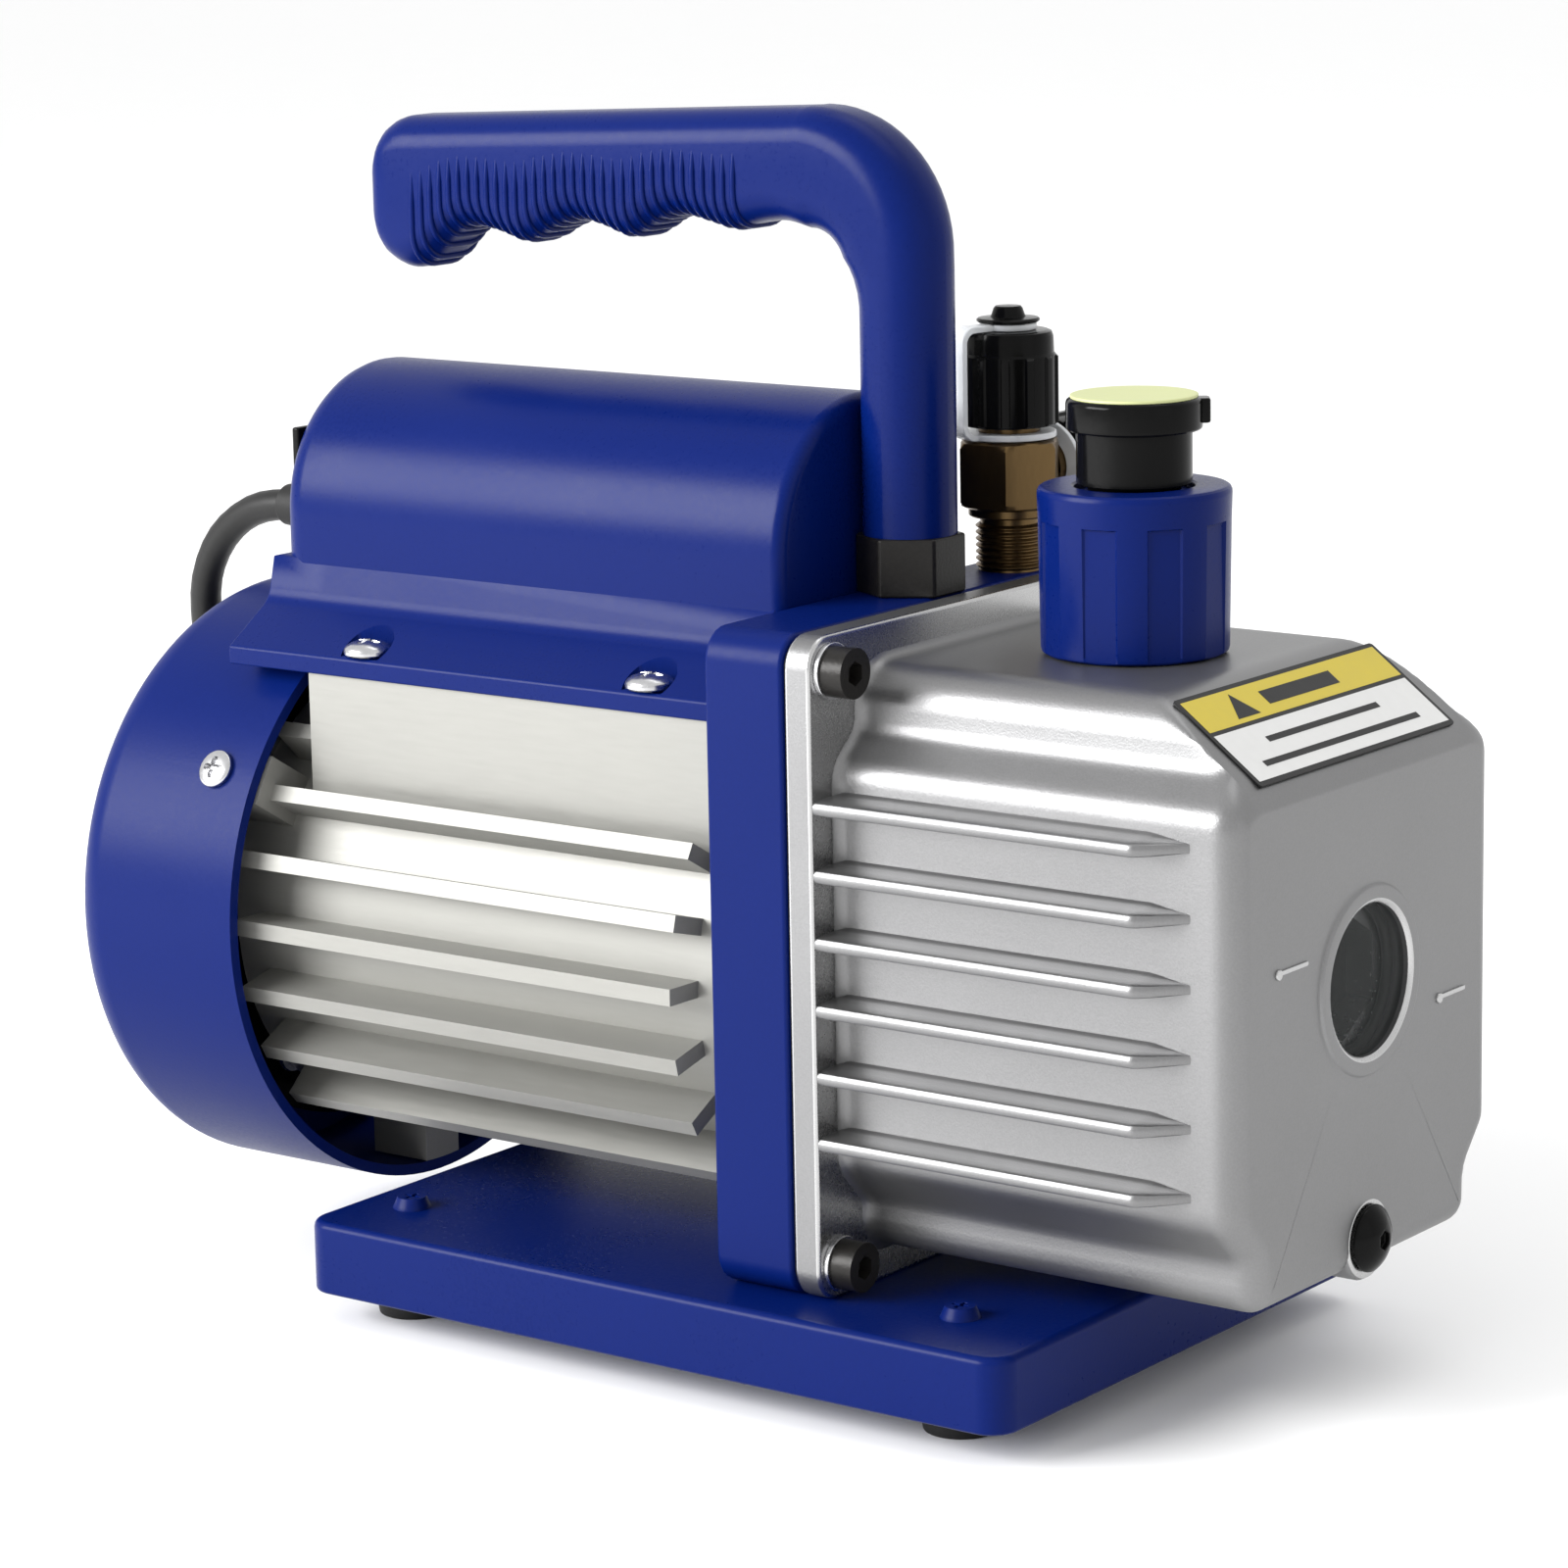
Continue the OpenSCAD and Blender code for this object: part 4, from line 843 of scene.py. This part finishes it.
def make_ribs(piece):
    root_y = 44.0
    # (share of the way out, half thickness), from the root's fillet to the rounded tip
    profile = [(0.0, 3.4), (0.06, 2.4), (0.15, 1.75), (0.28, 1.5), (0.6, 1.4), (0.86, 1.3), (0.95, 1.05),
               (0.99, 0.6)]
    stations = [FLANGE_FRONT - 0.5, RIB_END - RIB_TAPER - 0.8]
    tips = [RIB_TIP_Y, RIB_TIP_Y]
    for k in range(1, 9):
        share = k / 8
        stations.append(RIB_END - RIB_TAPER - 0.8 + (RIB_TAPER + 0.8) * share)
        tips.append(RIB_TIP_Y - (RIB_TIP_Y - root_y) * share ** 1.25 * 0.98)
    for i in range(RIB_COUNT):
        z = RIB_TOP - i * RIB_PITCH
        for s in (-1, 1):
            rings = []
            for x, tip in zip(stations, tips):
                full = (tip - root_y) / (RIB_TIP_Y - root_y)
                upper = [(root_y + (tip - root_y) * a, z + h * (0.55 + 0.45 * full)) for a, h in profile]
                lower = [(y, 2 * z - h) for y, h in reversed(upper)]
                rings.append([mm(x, s * y, h) for y, h in upper + [(tip, z)] + lower])
            piece.loft(rings)


def make_level_ticks(piece):
    """Cast oil level marks beside the sight glass: a short bar and a dot on each side, in the painted highlight metal.
    """
    seat = (CASING_FRONT - 0.3) * MM
    for y0, y1, z in ((-31.5, -21.5, 88.9), (24.5, 34.0, 73.1)):
        low, high = z - 0.45, z + 0.45
        outline = rounded([(y0, low, 0.4), (y1, low, 0.4), (y1, high, 0.4), (y0, high, 0.4)], 3)
        bar_top = (CASING_FRONT + 0.4) * MM
        piece.pillow([mm(*p) for p in outline], along_x, seat, bar_top, 0.2 * MM, 2, kinds=(1, 1))
        turns = [2 * pi * k / 16 for k in range(16)]
        dot = [mm(y0 + 0.3 + cos(a), z - 0.2 + sin(a)) for a in turns]
        piece.pillow(dot, along_x, seat, (CASING_FRONT + 0.5) * MM, 0.3 * MM, 2, kinds=(1, 1))


make_bracket()
make_casing()


def make_label():
    """A label without words on the sloped face: black rim, yellow band with a plain triangle, white below."""
    low, high = box_mm("caution_label")
    hw = (high[1] - low[1]) / 2
    slope = radians(SLOPE_DEG)
    start, length = 1.9, 22.0
    lift = 0.35

    def at(u, v, w):
        """u across, v down the slope, w off the surface, in mm."""
        along = start + v
        x = SLOPE_X + along * cos(slope) + w * sin(slope)
        z = 136 - along * sin(slope) + w * cos(slope)
        return mm(x, u, z)

    piece = Build("label_film", "root", "label_black", "label_yellow", "label_white")

    def patch(corners, w, kind):
        piece.face(piece.ring([at(u, v, w) for u, v in corners]), kind)

    outline = rounded([(-hw, 0, 0.8), (hw, 0, 0.8), (hw, length, 0.8), (-hw, length, 0.8)], 4)
    piece.pillow(outline, at, -0.1, lift, 0.05, 1, kinds=(0, 0))
    rim, band = 1.0, 8.6
    patch([(-hw + rim, rim), (hw - rim, rim), (hw - rim, band), (-hw + rim, band)], lift + 0.03, 1)
    side, start_white, end_white = hw - rim, band + 0.9, length - rim
    patch([(-side, start_white), (side, start_white), (side, end_white), (-side, end_white)], lift + 0.03, 2)
    patch([(-22, band - 1), (-14.6, band - 1), (-18.3, rim + 0.9)], lift + 0.06, 0)
    patch([(-10, 3.2), (14, 3.2), (14, 6.4), (-10, 6.4)], lift + 0.06, 0)
    for row, (a, b) in enumerate(((-20, 18), (-27, 26))):
        v = band + 4.0 + row * 4.6
        patch([(a, v), (b, v), (b, v + 1.3), (a, v + 1.3)], lift + 0.06, 0)
    return piece.done("caution_label", slot="label")


make_label()


# ---- handle


def through(points, x):
    """Smooth height at x through (x, height) points in rising x."""
    xs = [p[0] for p in points]
    i = min(max(sum(1 for q in xs if q <= x) - 1, 0), len(points) - 2)
    a, b, c, d = points[max(i - 1, 0)], points[i], points[i + 1], points[min(i + 2, len(points) - 1)]
    span = c[0] - b[0]
    t = (x - b[0]) / span
    left = (c[1] - a[1]) / (c[0] - a[0]) * span
    right = (d[1] - b[1]) / (d[0] - b[0]) * span
    return ((2 * t ** 3 - 3 * t ** 2 + 1) * b[1] + (t ** 3 - 2 * t ** 2 + t) * left
            + (3 * t ** 2 - 2 * t ** 3) * c[1] + (t ** 3 - t ** 2) * right)


GRIP_HW = 8.9
GRIP_END, BEND_X, BEND_Z = -93.1, 12.25, 204.9
BEND_OUT = 27.4
LEG_OUT, LEG_IN, LEG_FOOT = 39.7, 22.15, 153.9
GRIP_LOW = [(-93.1, 207.6), (-91.4, 202.6), (-88, 199.5), (-83.4, 198.3), (-78.4, 200.4), (-74, 204.6),
            (-68.4, 207.4), (-61.5, 206.6), (-54.5, 204.9), (-48.5, 207.6), (-41.8, 209.7), (-35.5, 208.6),
            (-29, 206.9), (-23, 209.9), (-17.2, 211.6), (-11, 210.6), (-4.7, 209.3), (2, 210.6),
            (7, 210.9), (BEND_X, 209.8)]
GRIP_EDGE_R = 6.4


def grip_top(x):
    return 232.2 + (x - BEND_X) * 0.0435


def handle_sections():
    """(foot, outward direction in (x, z), height, half width, edge radius) of each section, in mm."""
    out = []
    xs = [GRIP_END + near for near in (0.02, 0.25, 0.7, 1.5, 2.6, 4, 6, 8)]
    while xs[-1] < BEND_X - 1.3:
        xs.append(xs[-1] + 1.3)
    for x in xs:
        near = x - GRIP_END
        top, low, hw = grip_top(x), through(GRIP_LOW, x), GRIP_HW
        if near < 9.5:
            top -= 9.5 - sqrt(9.5 ** 2 - (9.5 - near) ** 2)
        if near < 5:
            hw -= 5 - sqrt(25 - (5 - near) ** 2)
        out.append(((x, low), (0, 1), top - low, hw, GRIP_EDGE_R))
    steps = 16
    for k in range(steps + 1):
        a = pi / 2 * (1 - k / steps)
        d = (cos(a), sin(a))
        inner = 4.9 - 0.5 * sin(2 * a) + 1.5 * (k / steps)
        foot = (BEND_X + d[0] * inner, BEND_Z + d[1] * inner)
        out.append((foot, d, BEND_OUT - inner, GRIP_HW - 0.1 * k / steps,
                    GRIP_EDGE_R + (8.7 - GRIP_EDGE_R) * k / steps))
    for z in (203, 201, 198.5, 196, 193, 185, 170, LEG_FOOT):
        rise = max(0.0, z - 195)
        inner = LEG_IN - (16 - sqrt(256 - rise * rise))
        out.append(((inner, z), (1, 0), LEG_OUT - inner, 8.8, 8.7))
    return out


def bar_section(height, hw, radius, steps=8):
    """Rounded rectangle as (across, up) points, up from 0 to height, rising on the +across side."""
    r = min(radius, height / 2 - 0.05, hw - 0.05)
    out = []
    side, top = hw - r, height - r
    for cy, cz, start in ((side, r, -90), (side, top, 0), (-side, top, 90), (-side, r, 180)):
        for k in range(steps + 1):
            a = radians(start + 90 * k / steps)
            out.append((cy + r * cos(a), cz + r * sin(a)))
    return out


def make_handle():
    piece = Build("handle_moulding", "root", "blue_plastic")
    rings = []
    for foot, way, height, hw, radius in handle_sections():
        rings.append([mm(foot[0] + way[0] * up, across, foot[1] + way[1] * up)
                      for across, up in bar_section(height, hw, radius)])
    piece.loft(rings)
    # Fine upright grip ridges that wrap the lower half
    count, first, last = 34, -80.5, -2.0
    for i in range(count):
        x = first + (last - first) * i / (count - 1)
        low = through(GRIP_LOW, x)
        rise = (grip_top(x) - low) * 0.60
        r, hw = GRIP_EDGE_R, GRIP_HW
        side = [(-hw, rise), (-hw, (rise + r) / 2), (-hw, r)]
        for k in range(1, 8):
            a = radians(180 + 90 * k / 7)
            side.append((-(hw - r) + r * cos(a), r + r * sin(a)))
        path = side + [(-y, z) for y, z in reversed(side)]
        path[0] = (path[0][0] + 0.55, path[0][1] + 0.6)
        path[-1] = (path[-1][0] - 0.55, path[-1][1] + 0.6)
        piece.tube([mm(x, y, low + z) for y, z in path], 0.62 * MM, sides=8)
    return piece.done("handle", sharp=60, weighted=False)


make_handle()


# ---- terminal box

BOX_BACK, BOX_FRONT = -101.4, 21.75
BOX_HW, BOX_TOP = 28.3, 179.5
COVER_R, COVER_FRONT = 60.0, -88.75
LEDGE_HW = 42.0
BOX_SCREWS = [(x, y) for x in (-69.7, -0.95) for y in (-38.6, 38.6)]


def clear_of_cover(x, y, z):
    """Lifts a point of the terminal box off the fan cover under its rear."""
    if x < COVER_FRONT + 0.4 and abs(y) < COVER_R:
        z = max(z, SHAFT_Z + sqrt((COVER_R + 0.2) ** 2 - y * y))
    return mm(x, y, z)


def cut_with(obj, cutters):
    """Cuts the cutters from obj and removes them."""
    for cutter in cutters:
        tool = obj.modifiers.new("cut", "BOOLEAN")
        tool.operation = "DIFFERENCE"
        tool.object = cutter
        tool.solver = "EXACT"
    bpy.context.view_layer.update()
    graph = bpy.context.evaluated_depsgraph_get()
    mesh = bpy.data.meshes.new_from_object(obj.evaluated_get(graph))
    for modifier in [m for m in obj.modifiers if m.type == "BOOLEAN"]:
        obj.modifiers.remove(modifier)
    obj.data = mesh
    mesh.shade_smooth()
    mesh.set_sharp_from_angle(angle=radians(35))
    for cutter in cutters:
        bpy.data.objects.remove(cutter)


def plain_cutter(verts, faces):
    mesh = bpy.data.meshes.new("cutter")
    mesh.from_pydata(verts, [], faces)
    obj = bpy.data.objects.new("cutter", mesh)
    bpy.context.scene.collection.objects.link(obj)
    return obj


def round_cutter(x, y, low, high, r, steps=40):
    turns = [2 * pi * k / steps for k in range(steps)]
    verts = [mm(x + r * cos(a), y + r * sin(a), z) for z in (low, high) for a in turns]
    faces = [(k, (k + 1) % steps, steps + (k + 1) % steps, steps + k) for k in range(steps)]
    return plain_cutter(verts, faces + [tuple(reversed(range(steps))), tuple(range(steps, 2 * steps))])


def make_terminal_box():
    arch = []
    centre = BOX_TOP - BOX_HW
    for k in range(49):
        a = pi * k / 48
        arch.append((BOX_HW * cos(a), centre + BOX_HW * sin(a)))
    low = 128.0
    arch += [(-BOX_HW, 140.0)] + [(-BOX_HW + 2 * BOX_HW * k / 16, low) for k in range(17)] + [(BOX_HW, 140.0)]
    base = np.array(arch)
    normals = normals_2d(arch)
    rear_r, front_r = 6.5, 2.6
    stations = []
    for k in range(7):
        a = pi / 2 * k / 6
        stations.append((BOX_BACK + rear_r * (1 - sin(a)), rear_r * (1 - cos(a))))
    stations.reverse()
    stations += [(COVER_FRONT + 0.3, 0), (COVER_FRONT + 0.5, 0)]
    for k in range(6):
        a = pi / 2 * k / 5
        stations.append((BOX_FRONT - front_r * (1 - sin(a)), front_r * (1 - cos(a))))
    piece = Build("terminal_box_moulding", "root", "blue_plastic")
    rings = []
    for x, inset in stations:
        q = base - normals * inset
        rings.append([clear_of_cover(x, y, max(z, low)) for y, z in q])
    piece.loft(rings)

    half = [(LEDGE_HW, 123.5, 0.4), (LEDGE_HW, 127.0, 1.0), (30.0, 134.9, 5.0), (28.1, 143.0, 0)]
    outline = ccw(rounded([(y, z, r) for y, z, r in half] + [(-y, z, r) for y, z, r in reversed(half)], 6))
    dense = []
    for i, (u, v) in enumerate(outline):
        un, vn = outline[(i + 1) % len(outline)]
        parts = max(1, int(hypot(un - u, vn - v) / 4))
        dense += [(u + (un - u) * k / parts, v + (vn - v) * k / parts) for k in range(parts)]
    q, n = np.array(dense), normals_2d(dense)
    rings = []
    for x, inset in ((BOX_BACK - 1.6, 0.7), (BOX_BACK - 1.4, 0.25), (BOX_BACK - 1.0, 0),
                     (COVER_FRONT + 0.3, 0), (COVER_FRONT + 0.5, 0), (BOX_FRONT - 1.7, 0),
                     (BOX_FRONT - 1.5, 0.2)):
        rings.append([clear_of_cover(x, y, z) for y, z in q - n * inset])
    piece.loft(rings)
    obj = piece.done("terminal_box")
    cutters = [round_cutter(x, y, 127.4, 150, 5.3) for x, y in BOX_SCREWS]
    cut_with(obj, cutters)
    return obj


make_terminal_box()


def screw_head(piece, at, r, h):
    """Domed head with a cross slot, from a fine grid of rings, so that the slot is cut cleanly."""
    steps, rings = 64, []
    levels = [(r * 0.95, 0.0), (r, 0.3), (r, 0.8)]
    for k in range(1, 15):
        a = pi / 2 * k / 15
        levels.append((r * cos(a), 0.8 + (h - 0.8) * sin(a)))
    levels.append((0.02, h))
    for rr, hh in levels:
        ring = []
        for k in range(steps):
            a = 2 * pi * k / steps
            u, v = rr * cos(a), rr * sin(a)
            slot = min(abs(u), abs(v)) < 0.5 and max(abs(u), abs(v)) < r * 0.55
            ring.append(at(u, v, hh - (1.1 if slot else 0)))
        rings.append(ring)
    piece.loft(rings)


def make_box_screws():
    piece = Build("terminal_box_screw_set", "root", "steel")
    for x, y in BOX_SCREWS:
        at = lambda u, v, w, x=x, y=y: mm(x + u, y + v, 127.8 + w)
        screw_head(piece, at, 4.6, 2.9)
        piece.lathe([(1.8, -12), (1.8, 0.2)], at, steps=24)
    return piece.done("terminal_box_screws")


make_box_screws()


# ---- motor and fan cover


def about_shaft(x0, angle):
    """Frame on the fan cover's wall: angle from -Y up towards +Z, w outwards, in mm."""
    c, s = cos(radians(angle)), sin(radians(angle))

    def at(u, v, w):
        r = COVER_R + w
        return mm(x0 + u, -c * r + s * v, SHAFT_Z + s * r + c * v)

    return at


def make_motor_screws():
    """Cross-slot screws: three in the fan cover, four in the rear shield, four in the bracket's face."""
    piece = Build("motor_screw_set", "root", "steel")
    for angle in (31, 149, 270):
        screw_head(piece, about_shaft(-98.25, angle), 3.8, 1.8)
        piece.lathe([(1.8, -9), (1.8, 0.2)], about_shaft(-98.25, angle), steps=20)
    wall = 43.3
    for x, way, turns in ((-100.0, -1, (45, 135, 225, 315)), (27.35, 1, (60, 120, 240, 300))):
        for a in turns:
            y, z = wall * cos(radians(a)), SHAFT_Z + wall * sin(radians(a))
            at = lambda u, v, w, x=x, y=y, z=z, way=way: mm(x + way * w, y + u, z + v)
            screw_head(piece, at, 3.8, 1.8)
            piece.lathe([(1.8, -10), (1.8, 0.2)], at, steps=20)
    return piece.done("motor_screws")


make_motor_screws()
refined("motor_housing", 0.35)
refined("fan_cover", 0.5)
refined("casing_bolts", 0.45, steps=3)
refined("casing_washers", 0.2)
refined("foot_screws", 0.25)
refined("handle_lock_nut", 0.5)
refined("drain_plug", 0.3)
refined("rubber_feet", 0.6)
refined("intake_strap", 0.25)
refined("side_strap", 0.25)
refined("strain_relief", 0.4)
refined("switch_bezel", 0.5)
refined("rocker_switch", 0.4)


# ---- exhaust knob and plug

KNOB_X = 80.25
KNOB_LOW, KNOB_HIGH = 136.3, 166.5


def make_knob():
    """Blue knob with nine flat panels let into its side."""
    panels, half, centre = 9, 10.0, -39.0
    flat = 17.3 * cos(radians(half)) - 0.45

    def panel(a, r, h):
        if h > KNOB_HIGH - 6.0 or r < 15:
            return r
        off = (a / pi * 180 - centre + 180 / panels) % (360 / panels) - 180 / panels
        return min(r, flat / cos(radians(off))) if abs(off) <= half else r

    low, top = KNOB_LOW, KNOB_HIGH
    profile = [(10.2, low), (16.4, low), (16.9, low + 0.35), (17.05, low + 1.0), (17.4, top - 6.15),
               (17.4, top - 5.9), (17.55, top - 1.5), (17.5, top - 0.9), (17.25, top - 0.4),
               (16.8, top - 0.1), (16.3, top), (11.4, top), (10.9, top - 0.3),
               (10.7, top - 1.5), (8.6, top - 1.5), (8.6, top - 9)]
    piece = Build("exhaust_knob_moulding", body_of_node("exhaust_knob"), "blue_plastic")
    at = lambda u, v, w: mm(KNOB_X + u, v, w)
    piece.lathe(profile, at, steps=360, wobble=panel)
    piece.lathe([(9.9, low - 12), (9.9, low + 0.3)], at, steps=64, cap_first=True)
    return piece.done("exhaust_knob", sharp=22)


def make_exhaust_plug():
    top = 182.2
    piece = Build("exhaust_plug_moulding", body_of_node("exhaust_plug"), "black_plastic")
    at = lambda u, v, w: mm(KNOB_X + u, v, w)
    profile = [(8.4, 158.8), (8.4, 166.7), (10.2, 166.7), (10.45, 167.0), (10.45, 176.2), (10.7, 176.5),
               (12.0, 176.5), (12.25, 176.8), (12.3, 177.4), (12.3, 181.2), (12.1, 181.8), (11.7, 182.1),
               (11.5, 182.2), (11.4, 182.0), (0.02, 182.0)]
    piece.lathe(profile, at, steps=96)
    c, s = cos(radians(35)), sin(radians(35))
    outline = rounded([(11.4, -2.2, 0.4), (13.6, -2.2, 0.8), (13.6, 2.2, 0.8), (11.4, 2.2, 0.4)], 4)
    piece.pillow(outline, lambda u, v, w: at(u * c - v * s, u * s + v * c, w), top - 4.7, top - 0.2, 0.4, 2)
    return piece.done("exhaust_plug")


def make_plug_disc():
    piece = Build("exhaust_plug_film", body_of_node("exhaust_plug_disc"), "disc_yellow")
    profile = [(11.4, 182.2), (11.5, 182.35), (11.45, 182.7), (11.2, 182.8)]
    profile += [(11.2 * (1 - k / 8) + 0.01, 182.8 - 0.15 * sin(pi / 2 * k / 8)) for k in range(1, 9)]
    piece.lathe(profile, lambda u, v, w: mm(KNOB_X + u, v, w), steps=96)
    return piece.done("exhaust_plug_disc")


make_knob()
make_exhaust_plug()
make_plug_disc()


# ---- intake fitting

INTAKE_X, INTAKE_Y = 32.25, 31.0
SIDE_Z = 161.5
HEX_AF = 18.0


def make_intake():
    """Brass fitting: threaded foot, chamfered hexagon, and a flare port on top and one to the side."""
    piece = Build("intake_fitting_turned", "root", "brass")
    at = lambda u, v, w: mm(INTAKE_X + u, INTAKE_Y + v, w)

    def hexagon(a, r, h):
        off = (a / pi * 180) % 60 - 30
        return min(r, HEX_AF / 2 / cos(radians(off)))

    threads = [(5, 133.2), (5, 143), (6.1, 143.02)]
    z = 143.4
    while z < 151.6:
        threads += [(6.0, z), (6.6, z + 0.45), (6.6, z + 0.6), (6.0, z + 1.05)]
        z += 1.25
    threads += [(5.7, 151.8), (5.7, 153.2), (7.6, 153.3), (7.9, 153.6), (7.9, 155.0)]
    piece.lathe(threads, at, steps=72, cap_first=True)
    nut = [(7.9, 154.9), (8.6, 155.0), (9.6, 155.5), (10.5, 156.4), (10.5, 166.6), (9.6, 167.6), (8.6, 168.0),
           (5.9, 168.0), (5.8, 168.1), (5.8, 170.2), (5.5, 170.4), (5.5, 181.6), (5.2, 182.0), (2.6, 182.0),
           (2.6, 160)]
    piece.lathe(nut, at, steps=120, wobble=hexagon)
    side = lambda u, v, w: mm(INTAKE_X + u, INTAKE_Y + w, SIDE_Z + v)
    branch = [(5.9, 8.6), (5.9, 12.3), (5.5, 12.5), (5.5, 23.6), (5.2, 24.0), (2.6, 24.0), (2.6, 4)]
    piece.lathe(branch, side, steps=72)
    return piece.done("intake_fitting", sharp=30)


make_intake()


# ---- dust caps

CAP_R, FLARE_R, BUTTON_H = 9.0, 5.5, 4.6
PORT_TOP, PORT_SIDE = 170.6, 43.6


def make_cap(node, at, length):
    """Moulded dust cap over a flare port: shallow ribs under its shoulder, and a button on a thin collar."""
    ribs, rib_half = 12, 5.5

    def ribbed(a, r, h):
        off = (a / pi * 180 + 15) % (360 / ribs) - 180 / ribs
        return r + 0.45 if abs(off) < rib_half and 0.3 < h < length - 5 and r > 8 else r

    piece = Build(node + "_moulding", body_of_node(node), "black_plastic")
    profile = [(FLARE_R + 0.1, length - 1), (FLARE_R + 0.1, 0.3), (FLARE_R + 0.4, 0), (CAP_R - 0.5, 0),
               (CAP_R - 0.1, 0.15), (CAP_R, 0.5), (CAP_R, length - 5.1), (CAP_R, length - 4.7),
               (CAP_R - 0.35, length - 4.2), (CAP_R - 0.45, length - 1.2),
               (CAP_R - 0.8, length - 0.3), (CAP_R - 1.5, length)]
    button = ((3.0, 0), (3.0, 1.5), (5.7, 1.5), (6.0, 1.75), (6.0, 2.05), (5.7, 2.3), (3.4, 2.5), (3.2, 2.8),
              (2.75, 4.1), (2.4, 4.5), (0.02, BUTTON_H))
    profile += [(r, length + h) for r, h in button]
    piece.lathe(profile, at, steps=180, wobble=ribbed, cap_first=True)
    return piece.done(node, sharp=32)


def cap_length(node, axis, mouth):
    return box_mm(node)[1][axis] - mouth - BUTTON_H


make_cap("intake_cap", lambda u, v, w: mm(INTAKE_X + u, INTAKE_Y + v, PORT_TOP + w),
         cap_length("intake_cap", 2, PORT_TOP))
make_cap("side_cap", lambda u, v, w: mm(INTAKE_X + u, PORT_SIDE + w, SIDE_Z - v),
         cap_length("side_cap", 1, PORT_SIDE))


# ---- end

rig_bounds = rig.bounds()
with open("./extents.json", "w") as out:
    json.dump({"cad": [list(c) for c in cad_bounds], "visual": [list(c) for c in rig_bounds]}, out)
